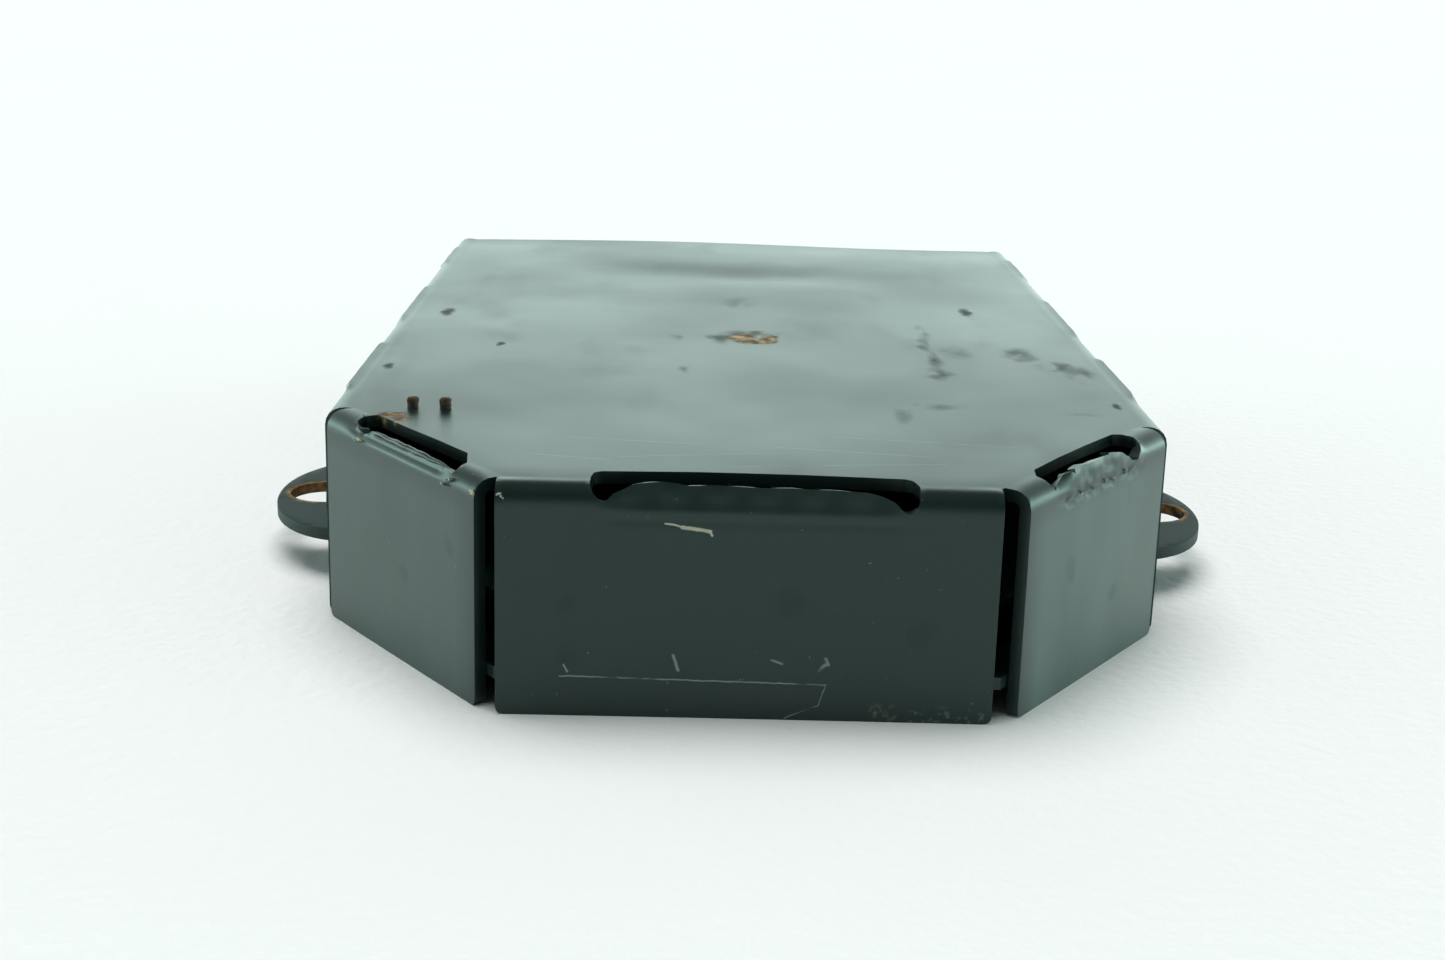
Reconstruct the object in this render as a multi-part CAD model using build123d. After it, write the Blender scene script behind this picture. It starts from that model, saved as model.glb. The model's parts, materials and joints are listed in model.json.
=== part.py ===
"""Lidar scanner module: a folded steel case with a spinning-mirror scan engine inside.

Frame: millimetres, +Z up, +Y towards the scan window, origin at the middle of the footprint.
The chamfered, slotted back of the case is at -Y. The mirror spins about a vertical axis.
"""
import math
import os

from build123d import *

# ---- case ----
CASE_HALF_WIDTH = 73.0
CASE_LENGTH = 244.0
CASE_HEIGHT = 37.0
SHEET = 2.0
BEND_OUTER = 4.0
BEND_INNER = BEND_OUTER - SHEET
BACK_Y = -CASE_LENGTH / 2
WINDOW_Y = CASE_LENGTH / 2
BACK_CORNER_X = 40.5
SIDE_CORNER_Y = -76.8
ROOF = CASE_HEIGHT - SHEET
FLANGE_GAP = 0.9
BACK_SLOT_REACH = 8.0
CHAMFER_SLOT_REACH = 6.2
SIDE_SLOT_REACH = 4.2
BACK_SLOT = (-25.0, 25.0)
CHAMFER_SLOT = (15.0, 46.5)
SIDE_SLOTS = ((-61.0, -14.0), (4.0, 51.0), (78.0, 110.0))

# ---- floor, mounting strap and side fasteners ----
FLOOR_TOP = 7.0
FLOOR_CLEARANCE = 2.3
STRAP_Y = -31.0
STRAP_HALF_WIDTH = 26.0
EAR_TIP_X = 90.0
EAR_HOLE_X = 81.0
EAR_HOLE_R = 7.0
TAB_Y = (-71.0, 14.0, 100.0)
TAB_HALF = 6.0
TAB_TOP = 26.0
SIDE_SCREW_Z = 20.0
M4 = 2.0
M3 = 1.5
STUD_Y = -74.3
STUD_HEIGHT = 1.8

# ---- window end ----
BEZEL_Y = (118.0, 121.5)
OPENING = (-55.0, 43.0, 12.0, 31.0)
CONNECTOR = (57.5, 20.0)

# ---- scan engine ----
SPIN = (10.0, 80.0)
BENCH_TOP = 10.0
SHAFT_R = 2.0
BEARING_R = 4.5
BEARING_WIDTH = 2.5
BEARING_Z = (11.9, 15.25)
BALL_COUNT = 7
BALL_R = 0.8
PITCH_R = 3.25
TUBE_R = 5.5
CORE_R = 12.1
TEETH = 9
MAGNET_R = (12.4, 13.5)
BELL_R = 14.5
BELL_Z = (12.7, 18.0)
DISC_R = 23.5
DISC_THICK = 0.5
CARRIER_HALF = 13.0
CARRIER_TOP = 32.6
MIRROR_THICK = 2.0
BEAM_Z = 26.0
RECEIVE_Y = SPIN[1] + 13.5
SEND_Y = SPIN[1] + 2.5
BLOCK_X = (-46.0, -16.0)

# ---- electronics ----
BOARD_Z = (14.0, 15.6)
BOARD_FRONT_INSET = 8.0
BOARD_END_Y = 8.0
STANDOFFS = ((30, -108), (-30, -108), (52, -72), (-52, -72), (56, 2), (-56, 2))

FIT = 0.05


def box(x, y, z):
    """Box from (low, high) pairs."""
    size = [high - low for low, high in (x, y, z)]
    middle = [(low + high) / 2 for low, high in (x, y, z)]
    return Pos(*middle) * Box(*size)


def rod(x, y, z, radius):
    """Upright cylinder over a (low, high) height."""
    return Pos(x, y, (z[0] + z[1]) / 2) * Cylinder(radius, z[1] - z[0])


def ring(x, y, z, outer, inner):
    return rod(x, y, z, outer) - rod(x, y, (z[0] - 1, z[1] + 1), inner)


def rod_x(x, y, z, radius):
    """Cylinder along X over a (low, high) span."""
    return Pos((x[0] + x[1]) / 2, y, z) * Rot(0, 90, 0) * Cylinder(radius, x[1] - x[0])


def rod_y(x, y, z, radius):
    """Cylinder along Y over a (low, high) span."""
    return Pos(x, (y[0] + y[1]) / 2, z) * Rot(90, 0, 0) * Cylinder(radius, y[1] - y[0])


def hexagon(x, y, z, flats):
    shape = extrude(RegularPolygon(flats / 2, 6, major_radius=False), z[1] - z[0])
    return Pos(x, y, z[0]) * shape


def group(shapes):
    return Compound(children=list(shapes))


def pan_screw(x, y, seat, length, radius):
    """Cross-recessed pan-head screw pointing down from its seat."""
    head = rod(x, y, (seat, seat + 1.3 * radius), 1.9 * radius)
    head = fillet(head.edges().group_by(Axis.Z)[-1], 0.5 * radius)
    top = seat + 1.3 * radius
    for wide, deep in ((1.1, 0.25), (0.25, 1.1)):
        arm = box((x - wide * radius, x + wide * radius), (y - deep * radius, y + deep * radius),
                  (top - 0.7 * radius, top + 1))
        head -= arm
    return head + rod(x, y, (seat - length, seat), radius)


# ---- case outline ----
CHAMFER = Vector(CASE_HALF_WIDTH - BACK_CORNER_X, SIDE_CORNER_Y - BACK_Y)
CHAMFER_LENGTH = CHAMFER.length
ALONG = CHAMFER.normalized()


def corner_points(inset):
    """Back and side corners of the right-hand outline, moved in by inset."""
    start_x = BACK_CORNER_X - ALONG.Y * inset
    start_y = BACK_Y + ALONG.X * inset
    to_back = (BACK_Y + inset - start_y) / ALONG.Y
    to_side = (CASE_HALF_WIDTH - inset - start_x) / ALONG.X
    back = (start_x + ALONG.X * to_back, BACK_Y + inset)
    side = (CASE_HALF_WIDTH - inset, start_y + ALONG.Y * to_side)
    return back, side


def outline(inset, end_y):
    """Six-sided plan face of the case, moved in by inset and cut off at end_y."""
    back, side = corner_points(inset)
    right = [back, side, (side[0], end_y)]
    left = [(-x, y) for x, y in reversed(right)]
    return make_face(Polyline(*right, *left, close=True))


def plate(inset, end_y, z):
    return Pos(0, 0, z[0]) * extrude(outline(inset, end_y), z[1] - z[0])


def flange_profile():
    """Section of a folded flange: local X runs out of the case, local Y is up."""
    centre = ROOF - BEND_INNER
    quarter = CenterArc((0, centre), BEND_OUTER, 0, 90)
    inner = CenterArc((0, centre), BEND_INNER, 0, 90)
    edges = [
        quarter,
        inner,
        Line((0, CASE_HEIGHT), (0, ROOF)),
        Line((BEND_OUTER, centre), (BEND_OUTER, 0)),
        Line((BEND_OUTER, 0), (BEND_INNER, 0)),
        Line((BEND_INNER, 0), (BEND_INNER, centre)),
    ]
    return make_face(edges)


def slot_profile(reach):
    """Section of a bend slot: half of the bend, and the roof as far in as reach from the flange."""
    inner = BEND_OUTER - reach
    low = ROOF - 1
    lean = low - (ROOF - BEND_INNER)
    return make_face(Polyline((inner, low), (lean, low), (lean + 4, low + 4), (inner, low + 4), close=True))


def flange(start, out, length, slots, reach):
    """Flange along its fold line, with bend slots given as spans along it."""
    along = Vector(0, 0, 1).cross(Vector(*out)) * -1
    fold = Plane(origin=(*start, 0), x_dir=(*out, 0), z_dir=along)
    solid = fold * extrude(flange_profile(), length)
    if fold.y_dir.Z < 0:
        raise ValueError("flange section is upside down")
    for low, high in slots:
        cut = fold * (Pos(0, 0, low) * extrude(slot_profile(reach), high - low))
        solid -= cut
        for end in (low, high):
            centre = fold * Pos(BEND_OUTER - 1, ROOF + 1, end)
            solid -= centre * Box(4, 8.4, 1.6)
    return solid


def slot_cuts(start, out, slots, reach):
    """The part of each bend slot that lies in the flat roof."""
    along = Vector(0, 0, 1).cross(Vector(*out)) * -1
    fold = Plane(origin=(*start, 0), x_dir=(*out, 0), z_dir=along)
    return [fold * (Pos(0, 0, low) * extrude(slot_profile(reach), high - low)) for low, high in slots]


def flange_places():
    """Fold start, outward direction, length, slots and slot reach of all five flanges."""
    back, side = corner_points(BEND_OUTER)
    half_back = back[0] - 0.1
    places = [((half_back, BACK_Y + BEND_OUTER), (0, -1), 2 * half_back,
               [(half_back + BACK_SLOT[0], half_back + BACK_SLOT[1])], BACK_SLOT_REACH)]
    for hand in (1, -1):
        out = (hand * ALONG.Y, -ALONG.X)
        run = math.dist(back, side) - FLANGE_GAP
        low = (CHAMFER_LENGTH - run) / 2
        slots = [(CHAMFER_SLOT[0] - low, CHAMFER_SLOT[1] - low)]
        if hand > 0:
            start = side
            slots = [(run - high, run - low_end) for low_end, high in slots]
        else:
            start = (-back[0] - ALONG.X * FLANGE_GAP, back[1] + ALONG.Y * FLANGE_GAP)
        places.append((start, out, run, slots, CHAMFER_SLOT_REACH))
        side_run = WINDOW_Y - side[1] - 0.5
        if hand > 0:
            start = (side[0], WINDOW_Y)
            spans = [(WINDOW_Y - high, WINDOW_Y - low_end) for low_end, high in SIDE_SLOTS]
        else:
            start = (-side[0], WINDOW_Y - side_run)
            first = start[1]
            spans = [(low_end - first, high - first) for low_end, high in SIDE_SLOTS]
        places.append((start, (hand, 0), side_run, spans, SIDE_SLOT_REACH))
    return places


def cover():
    """Folded roof with five flanges, bend slots and openings for the strap and screws."""
    body = plate(BEND_OUTER, WINDOW_Y, (ROOF, CASE_HEIGHT))
    for start, out, run, slots, reach in flange_places():
        body += flange(start, out, run, slots, reach)
        for cut in slot_cuts(start, out, slots, reach):
            body -= cut
    wall = (CASE_HALF_WIDTH - SHEET - 1, CASE_HALF_WIDTH + 1)
    strap = (STRAP_Y - STRAP_HALF_WIDTH - 0.5, STRAP_Y + STRAP_HALF_WIDTH + 0.5)
    for hand in (1, -1):
        side = tuple(sorted((hand * wall[0], hand * wall[1])))
        body -= box(side, strap, (FLOOR_TOP - 0.2, FLOOR_TOP + SHEET + 0.3))
        for y in TAB_Y:
            body -= countersink(hand, y, SIDE_SCREW_Z, M4, 0.1)
        for z in (12, 28):
            body -= countersink(hand, 114, z, M3, 0.1)
    for x in ground_stud_places():
        body -= rod(x, STUD_Y, (ROOF - 1, CASE_HEIGHT + 1), 1.0)
    return body


def countersink(hand, y, z, radius, gap):
    """Cone of a countersunk head, from the outer face of a side flange inwards."""
    cone = Cone(radius + gap, 1.8 * radius + gap, SHEET)
    return Pos(hand * (CASE_HALF_WIDTH - SHEET / 2), y, z) * Rot(0, hand * 90, 0) * cone


def flat_screw(hand, y, z, radius, length):
    """Countersunk screw driven in through a side flange."""
    seat = CASE_HALF_WIDTH - SHEET
    screw = countersink(hand, y, z, radius, 0)
    span = sorted((hand * seat, hand * (seat - length)))
    screw += rod_x(span, y, z, radius)
    face = sorted((hand * (CASE_HALF_WIDTH - 0.9), hand * (CASE_HALF_WIDTH + 1)))
    screw -= box(face, (y - radius, y + radius), (z - 0.3, z + 0.3))
    screw -= box(face, (y - 0.3, y + 0.3), (z - radius, z + radius))
    return screw


def case_screws():
    return group(flat_screw(hand, y, SIDE_SCREW_Z, M4, 7.5) for hand in (1, -1) for y in TAB_Y)


def case_nuts():
    """Round press nuts behind the floor tabs."""
    seat = CASE_HALF_WIDTH - SHEET - FLOOR_CLEARANCE
    nuts = []
    for hand in (1, -1):
        span = sorted((hand * seat, hand * (seat - 3)))
        bore = sorted((hand * (seat + 1), hand * (seat - 4)))
        for y in TAB_Y:
            nuts.append(rod_x(span, y, SIDE_SCREW_Z, 4) - rod_x(bore, y, SIDE_SCREW_Z, M4 + FIT))
    return group(nuts)


def ground_stud_places():
    return (-57.7, -52.1)


def ground_studs():
    studs = []
    for x in ground_stud_places():
        y = STUD_Y
        studs.append(rod(x, y, (ROOF, CASE_HEIGHT + STUD_HEIGHT), 1.0) + rod(x, y, (ROOF - 0.8, ROOF), 1.8))
    return group(studs)


def base_plate():
    """Steel floor with upright tabs inside the side flanges."""
    body = plate(SHEET + 0.3, BEZEL_Y[0] - 0.3, (FLOOR_TOP - SHEET, FLOOR_TOP))
    outer = CASE_HALF_WIDTH - SHEET - 0.3
    for hand in (1, -1):
        leg = sorted((hand * outer, hand * (outer - SHEET)))
        for y in TAB_Y:
            tab = box(leg, (y - TAB_HALF, y + TAB_HALF), (FLOOR_TOP - SHEET, TAB_TOP))
            tab = fillet(tab.edges().filter_by(Axis.X).group_by(Axis.Z)[-1], 4)
            body += tab
            body -= rod_x(sorted((hand * 60, hand * 75)), y, SIDE_SCREW_Z, M4 + 0.2)
    for x, y in rivet_places():
        body -= rod(x, y, (0, 20), M4)
    for x, y in STANDOFFS:
        body -= rod(x, y, (0, 20), M3 + FIT)
    for x, y in bench_screw_places():
        body -= rod(x, y, (0, 20), M3 + FIT)
    body -= rod(0, -90, (0, 20), 4.0)
    return body


def rivet_places():
    return [(x, STRAP_Y + y) for x in (-45, 45) for y in (-12, 12)]


def mounting_strap():
    """Flat bar through both side flanges, ending in elliptical ears with bolt holes."""
    shape = Rectangle(2 * CASE_HALF_WIDTH, 2 * STRAP_HALF_WIDTH)
    for hand in (1, -1):
        shape += Pos(hand * CASE_HALF_WIDTH, 0) * Ellipse(EAR_TIP_X - CASE_HALF_WIDTH, STRAP_HALF_WIDTH)
    bar = Pos(0, STRAP_Y, FLOOR_TOP) * extrude(shape, SHEET)
    for hand in (1, -1):
        bar -= rod(hand * EAR_HOLE_X, STRAP_Y, (0, 20), EAR_HOLE_R)
    for x, y in rivet_places():
        bar -= rod(x, y, (0, 20), M4)
    return bar


def strap_rivets():
    rivets = []
    for x, y in rivet_places():
        shank = rod(x, y, (FLOOR_TOP - SHEET, FLOOR_TOP + SHEET), M4)
        lower = rod(x, y, (FLOOR_TOP - SHEET - 1.3, FLOOR_TOP - SHEET), 3.5)
        upper = rod(x, y, (FLOOR_TOP + SHEET, FLOOR_TOP + SHEET + 1.3), 3.5)
        upper = fillet(upper.edges().group_by(Axis.Z)[-1], 1.0)
        lower = fillet(lower.edges().group_by(Axis.Z)[0], 1.0)
        rivets.append(shank + upper + lower)
    return group(rivets)


def breather_vent():
    stem = rod(0, -90, (FLOOR_TOP - SHEET, FLOOR_TOP + 2), 4.0)
    cap = rod(0, -90, (FLOOR_TOP - SHEET - 2, FLOOR_TOP - SHEET), 6.5)
    cap = chamfer(cap.edges().group_by(Axis.Z)[0], 0.8)
    body = stem + cap - rod(0, -90, (FLOOR_TOP - 1, FLOOR_TOP + 3), 2.5)
    for turn in range(4):
        angle = math.radians(90 * turn)
        body -= rod(1.8 * math.cos(angle), -90 + 1.8 * math.sin(angle), (0, FLOOR_TOP), 0.6)
    return body


# ---- window end ----
def frame(outer, inner, y):
    """Rectangular ring in the XZ plane."""
    body = box(outer[:2], y, outer[2:])
    return body - box(inner[:2], (y[0] - 1, y[1] + 1), inner[2:])


def grown(opening, amount):
    return (opening[0] - amount, opening[1] + amount, opening[2] - amount, opening[3] + amount)


def retainer_places():
    return [(x, z) for x in (OPENING[0] - 5, OPENING[1] + 5) for z in (13, 30)]


def rear_bezel():
    """Moulded end panel that closes the case round the window and the connector."""
    side = CASE_HALF_WIDTH - SHEET - 0.2
    body = box((-side, side), BEZEL_Y, (1.5, ROOF - 0.2))
    body = fillet(body.edges().filter_by(Axis.Y).group_by(Axis.Z)[-1], BEND_INNER + 0.2)
    for hand in (1, -1):
        lug = box(sorted((hand * side, hand * (side - 3.5))), (109.5, BEZEL_Y[0]), (8, ROOF - 1.8))
        body += lug
        for z in (12, 28):
            body -= rod_x(sorted((hand * 60, hand * 72)), 114, z, M3)
    hole = box(OPENING[:2], (110, 125), OPENING[2:])
    hole = fillet(hole.edges().filter_by(Axis.Y), 3)
    body -= hole
    body -= rod_y(CONNECTOR[0], (110, 125), CONNECTOR[1], 4.0)
    for x, z in retainer_places():
        body -= rod_y(x, (110, BEZEL_Y[0] + 2.2), z, 1.0)
    rim = fillet(body.edges().filter_by(Axis.Z).group_by(Axis.Y)[-1], 1.0)
    return rim


def window_gasket():
    return frame(grown(OPENING, 2.5), grown(OPENING, 0.5), (BEZEL_Y[0] - 0.8, BEZEL_Y[0]))


def window_pane():
    outer = grown(OPENING, 2.5)
    pane = box(outer[:2], (BEZEL_Y[0] - 3.3, BEZEL_Y[0] - 0.8), outer[2:])
    return fillet(pane.edges().filter_by(Axis.Y), 2)


def window_retainer():
    outer = (OPENING[0] - 7, OPENING[1] + 7, OPENING[2] - 2.8, OPENING[3] + 2.8)
    y = (BEZEL_Y[0] - 4.8, BEZEL_Y[0] - 3.3)
    body = frame(outer, grown(OPENING, -0.5), y)
    for x, z in retainer_places():
        body += rod_y(x, (BEZEL_Y[0] - 3.3, BEZEL_Y[0]), z, 2.0)
        body -= rod_y(x, (105, 125), z, 1.0)
    return body


def retainer_screws():
    screws = []
    for x, z in retainer_places():
        shank = rod_y(x, (BEZEL_Y[0] - 4.8, BEZEL_Y[0] + 2), z, 1.0)
        head = rod_y(x, (BEZEL_Y[0] - 6.0, BEZEL_Y[0] - 4.8), z, 1.9)
        head -= box((x - 1.2, x + 1.2), (BEZEL_Y[0] - 6.1, BEZEL_Y[0] - 5.4), (z - 0.25, z + 0.25))
        screws.append(shank + head)
    return group(screws)


def bezel_screws():
    return group(flat_screw(hand, 114, z, M3, 3.4) for hand in (1, -1) for z in (12, 28))


def connector_shell():
    """Flush round bulkhead connector."""
    x, z = CONNECTOR
    body = rod_y(x, (109, BEZEL_Y[1]), z, 4.0) + rod_y(x, (BEZEL_Y[1], WINDOW_Y), z, 5.5)
    return body - rod_y(x, (105, 125), z, 3.2)


def connector_nut():
    x, z = CONNECTOR
    shape = extrude(RegularPolygon(5, 6, major_radius=False), 3) - Pos(0, 0, 1.5) * Cylinder(4.0, 6)
    return Pos(x, BEZEL_Y[0], z) * Rot(90, 0, 0) * shape


def pin_places():
    x, z = CONNECTOR
    turns = [math.radians(60 * step) for step in range(6)]
    return [(x + 1.9 * math.cos(turn), z + 1.9 * math.sin(turn)) for turn in turns]


def connector_insert():
    x, z = CONNECTOR
    body = rod_y(x, (109.5, 116.5), z, 3.2)
    for px, pz in pin_places():
        body -= rod_y(px, (105, 125), pz, 0.4)
    return body


def connector_pins():
    return group(rod_y(x, (107.5, 120.5), z, 0.4) for x, z in pin_places())


# ---- scan engine ----
def bench_screw_places():
    return [(x, y) for x in (-56, 56) for y in (22, 106)]


def block_screw_places():
    return [(-31, 73.0), (-31, 107.0)]


def optical_bench():
    """Cast plate that carries the motor and the optics block."""
    body = box((-60, 60), (16, 111), (FLOOR_TOP, BENCH_TOP))
    body = fillet(body.edges().filter_by(Axis.Z), 6)
    body -= fillet(box((-46, 46), (26, 50), (0, 20)).edges().filter_by(Axis.Z), 5)
    for x, y in bench_screw_places() + block_screw_places() + motor_screw_places():
        body -= rod(x, y, (0, 20), M3 + FIT)
    return body


def bench_screws():
    return group(pan_screw(x, y, BENCH_TOP, BENCH_TOP - FLOOR_TOP + SHEET, M3)
                 for x, y in bench_screw_places())


def around(count, radius, turn=0.0):
    """Evenly spaced points round the spin axis."""
    for step in range(count):
        angle = math.radians(turn + 360 * step / count)
        yield SPIN[0] + radius * math.cos(angle), SPIN[1] + radius * math.sin(angle)


def motor_screw_places():
    return list(around(3, 17.5, 90))


def at_spin(z, outer, inner=0.0):
    if inner:
        return ring(*SPIN, z, outer, inner)
    return rod(*SPIN, z, outer)


def motor_base():
    """Motor flange with the tube that holds both bearings."""
    body = at_spin((BENCH_TOP, BENCH_TOP + 1.5), 20.6)
    body += at_spin((BENCH_TOP, 16.6), TUBE_R)
    body -= at_spin((BEARING_Z[0] - 1.25, 20), BEARING_R)
    body += at_spin((BEARING_Z[0] + 1.25, BEARING_Z[1] - 1.25), BEARING_R, 3.8)
    for x, y in motor_screw_places():
        body -= rod(x, y, (0, 20), M3 + FIT)
    return body


def motor_screws():
    return group(pan_screw(x, y, BENCH_TOP + 1.5, 4.4, M3) for x, y in motor_screw_places())


def motor_board():
    """Ring board under the windings, with a tongue for its connector."""
    z = (BENCH_TOP + 1.5, BENCH_TOP + 2.1)
    body = at_spin(z, 12)
    body += box((SPIN[0] - 4.5, SPIN[0] + 4.5), (SPIN[1] - 23, SPIN[1] - 8), z)
    body -= at_spin((0, 30), TUBE_R)
    return body


def stator_core():
    """Laminated star with one T-shaped tooth per winding."""
    z = (13.2, 15.7)
    body = at_spin(z, 7.2, TUBE_R)
    shoes = at_spin(z, CORE_R, CORE_R - 1.0)
    for tooth in range(TEETH):
        angle = 360 * tooth / TEETH
        place = Pos(*SPIN, 0) * Rot(0, 0, angle)
        body += place * box((6.5, CORE_R - 0.6), (-0.8, 0.8), z)
        gap = angle + 180 / TEETH
        shoes -= Pos(*SPIN, 0) * Rot(0, 0, gap) * box((9, 14), (-0.6, 0.6), (z[0] - 1, z[1] + 1))
    return body + shoes


def stator_coils():
    coils = []
    for tooth in range(TEETH):
        coil = box((7.6, 10.6), (-1.55, 1.55), (12.4, 16.5))
        coil = fillet(coil.edges().filter_by(Axis.X), 0.6)
        coil -= box((6, 12), (-0.8, 0.8), (13.2, 15.7))
        coils.append(Pos(*SPIN, 0) * Rot(0, 0, 360 * tooth / TEETH) * coil)
    return group(coils)


def race(z, outer, inner):
    """Bearing ring with a ball groove."""
    half = BEARING_WIDTH / 2
    body = at_spin((z - half, z + half), outer, inner)
    return body - Pos(*SPIN, z) * Torus(PITCH_R, BALL_R + FIT)


def bearing_outer_rings():
    return group(race(z, BEARING_R, 3.9) for z in BEARING_Z)


def bearing_inner_rings():
    return group(race(z, 2.6, SHAFT_R) for z in BEARING_Z)


def bearing_balls():
    return group(Pos(x, y, z) * Sphere(BALL_R) for z in BEARING_Z for x, y in around(BALL_COUNT, PITCH_R))


def bearing_cages():
    cages = []
    for z in BEARING_Z:
        cage = at_spin((z - 1.1, z + 1.1), PITCH_R + 0.4, PITCH_R - 0.4)
        for step in range(BALL_COUNT):
            pocket = rod_x((2, 5), 0, z, BALL_R + FIT)
            cage -= Pos(*SPIN, 0) * Rot(0, 0, 360 * step / BALL_COUNT) * pocket
        cages.append(cage)
    return group(cages)


def rotor_shaft():
    body = at_spin((10.8, 30), SHAFT_R)
    body = chamfer(body.edges().group_by(Axis.Z)[0], 0.3)
    return body - at_spin((24.8, 31), 1.25)


def rotor_bell():
    body = at_spin(BELL_Z, BELL_R)
    body = fillet(body.edges().group_by(Axis.Z)[-1], 0.6)
    body -= at_spin((BELL_Z[0] - 1, BELL_Z[1] - 1), MAGNET_R[1])
    return body - at_spin((0, 30), SHAFT_R)


def magnet_ring():
    return at_spin((BELL_Z[0] + 0.2, BELL_Z[1] - 1.4), MAGNET_R[1], MAGNET_R[0])


def encoder_disc():
    """Thin disc with a ring of slots near its edge."""
    z = (BELL_Z[1], BELL_Z[1] + DISC_THICK)
    body = at_spin(z, DISC_R, SHAFT_R)
    slot = box((DISC_R - 2.6, DISC_R - 0.9), (-0.9, 0.9), (z[0] - 1, z[1] + 1))
    for step in range(36):
        body -= Pos(*SPIN, 0) * Rot(0, 0, 10 * step) * slot
    return body


def encoder_sensor():
    """Fork sensor that straddles the rim of the encoder disc."""
    edge = SPIN[0] + DISC_R
    body = box((edge - 2.6, edge + 6), (SPIN[1] - 3.5, SPIN[1] + 3.5), (BENCH_TOP, 23))
    body -= box((edge - 4, edge + 0.8), (SPIN[1] - 5, SPIN[1] + 5), (16.9, 19.8))
    return body


def mirror_carrier():
    """Square rotor block that the four mirrors are bonded to."""
    z = (BELL_Z[1] + DISC_THICK, CARRIER_TOP)
    block = Rot(0, 0, 45) * box((-CARRIER_HALF, CARRIER_HALF), (-CARRIER_HALF, CARRIER_HALF), z)
    body = Pos(*SPIN, 0) * block
    for x, y in around(4, 10.5):
        body -= rod(x, y, (z[0] + 2, z[1] + 1), 3.2)
    body -= at_spin((0, 40), SHAFT_R)
    return body


def mirror_facets():
    z = (BELL_Z[1] + DISC_THICK + 0.4, CARRIER_TOP - 0.4)
    facets = []
    for side in range(4):
        facet = box((CARRIER_HALF, CARRIER_HALF + MIRROR_THICK), (-CARRIER_HALF, CARRIER_HALF), z)
        facets.append(Pos(*SPIN, 0) * Rot(0, 0, 45 + 90 * side) * facet)
    return group(facets)


def mirror_screw():
    """Flanged screw that clamps the carrier to the shaft."""
    body = at_spin((CARRIER_TOP, CARRIER_TOP + 0.5), 4.5)
    body += hexagon(*SPIN, (CARRIER_TOP + 0.5, CARRIER_TOP + 1.7), 5)
    body += at_spin((26, CARRIER_TOP), 1.2)
    return body


def optics_block():
    """Black block with a wide receiving bore and a narrow sending bore, both along X."""
    body = box(BLOCK_X, (77, 103), (BENCH_TOP, 33.5))
    body = chamfer(body.edges().filter_by(Axis.X).group_by(Axis.Z)[-1], 2)
    for y in ((69, 77), (103, 111)):
        body += box((-37, -25), y, (BENCH_TOP, BENCH_TOP + 3))
    wide = BLOCK_X[1] - 7
    body -= rod_x((wide, BLOCK_X[1] + 1), RECEIVE_Y, BEAM_Z, 6.5)
    body -= rod_x((BLOCK_X[0] - 1, wide), RECEIVE_Y, BEAM_Z, 5.5)
    body -= rod_x((BLOCK_X[0] - 1, BLOCK_X[1] + 1), SEND_Y, BEAM_Z, 3.0)
    for x, y in block_screw_places():
        body -= rod(x, y, (0, 20), M3 + FIT)
    return body


def block_screws():
    return group(pan_screw(x, y, BENCH_TOP + 3, 5.5, M3) for x, y in block_screw_places())


def lens(x, y, radius, edge, bulge):
    """Plano-convex lens, flat face at x, bulging towards +X."""
    ball = (radius ** 2 + bulge ** 2) / (2 * bulge)
    tip = (edge + bulge, 0)
    half = make_face([
        Line((0, 0), (0, radius)),
        Line((0, radius), (edge, radius)),
        RadiusArc((edge, radius), tip, ball),
        Line(tip, (0, 0)),
    ])
    return Pos(x, y, BEAM_Z) * revolve(half, Axis.X)


def receiver_filter():
    x = BLOCK_X[1] - 7
    return rod_x((x, x + 1), RECEIVE_Y, BEAM_Z, 6.45)


def receiver_lens():
    return lens(BLOCK_X[1] - 6, RECEIVE_Y, 6.4, 1.6, 1.8)


def lens_retainer():
    """Ring that holds the receiving lens by the edge of its dome."""
    start = BLOCK_X[1] - 3.9
    body = rod_x((start, BLOCK_X[1] - 1), RECEIVE_Y, BEAM_Z, 6.45)
    return body - rod_x((start - 1, BLOCK_X[1]), RECEIVE_Y, BEAM_Z, 5.6)


def collimator_barrel():
    x = (-36.0, -26.0)
    body = rod_x(x, SEND_Y, BEAM_Z, 2.95)
    body -= rod_x((x[0] - 1, x[1] - 3), SEND_Y, BEAM_Z, 1.7)
    return body - rod_x((x[1] - 3, x[1] + 1), SEND_Y, BEAM_Z, 2.2)


def collimator_lens():
    return lens(-29.0, SEND_Y, 2.15, 1.2, 0.6)


def can(y, flange_r, can_r, length, legs):
    """Metal-can device on the optics board, pointing along +X."""
    back = BLOCK_X[0]
    body = rod_x((back, back + 1.0), y, BEAM_Z, flange_r)
    body += rod_x((back + 1.0, back + length), y, BEAM_Z, can_r)
    for dy in legs:
        body += rod_x((back - 2.6, back), y + dy, BEAM_Z, 0.25)
    return body


def photodiode():
    return can(RECEIVE_Y, 4.8, 4.2, 4.5, (-1.8, 0, 1.8))


def laser_diode():
    return can(SEND_Y, 2.8, 2.1, 3.6, (-1.0, 1.0))


def optics_board():
    back = BLOCK_X[0]
    body = box((back - 1.6, back), (74, 106), (11, 33))
    for y, legs in ((RECEIVE_Y, (-1.8, 0, 1.8)), (SEND_Y, (-1.0, 1.0))):
        for dy in legs:
            body -= rod_x((back - 3, back + 1), y + dy, BEAM_Z, 0.35)
    for y, z, wide in ((79, 29, 4), (100, 16, 5), (84, 18, 6)):
        body += box((back - 2.6, back - 1.6), (y - wide / 2, y + wide / 2), (z - 1.5, z + 1.5))
    return body


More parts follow.
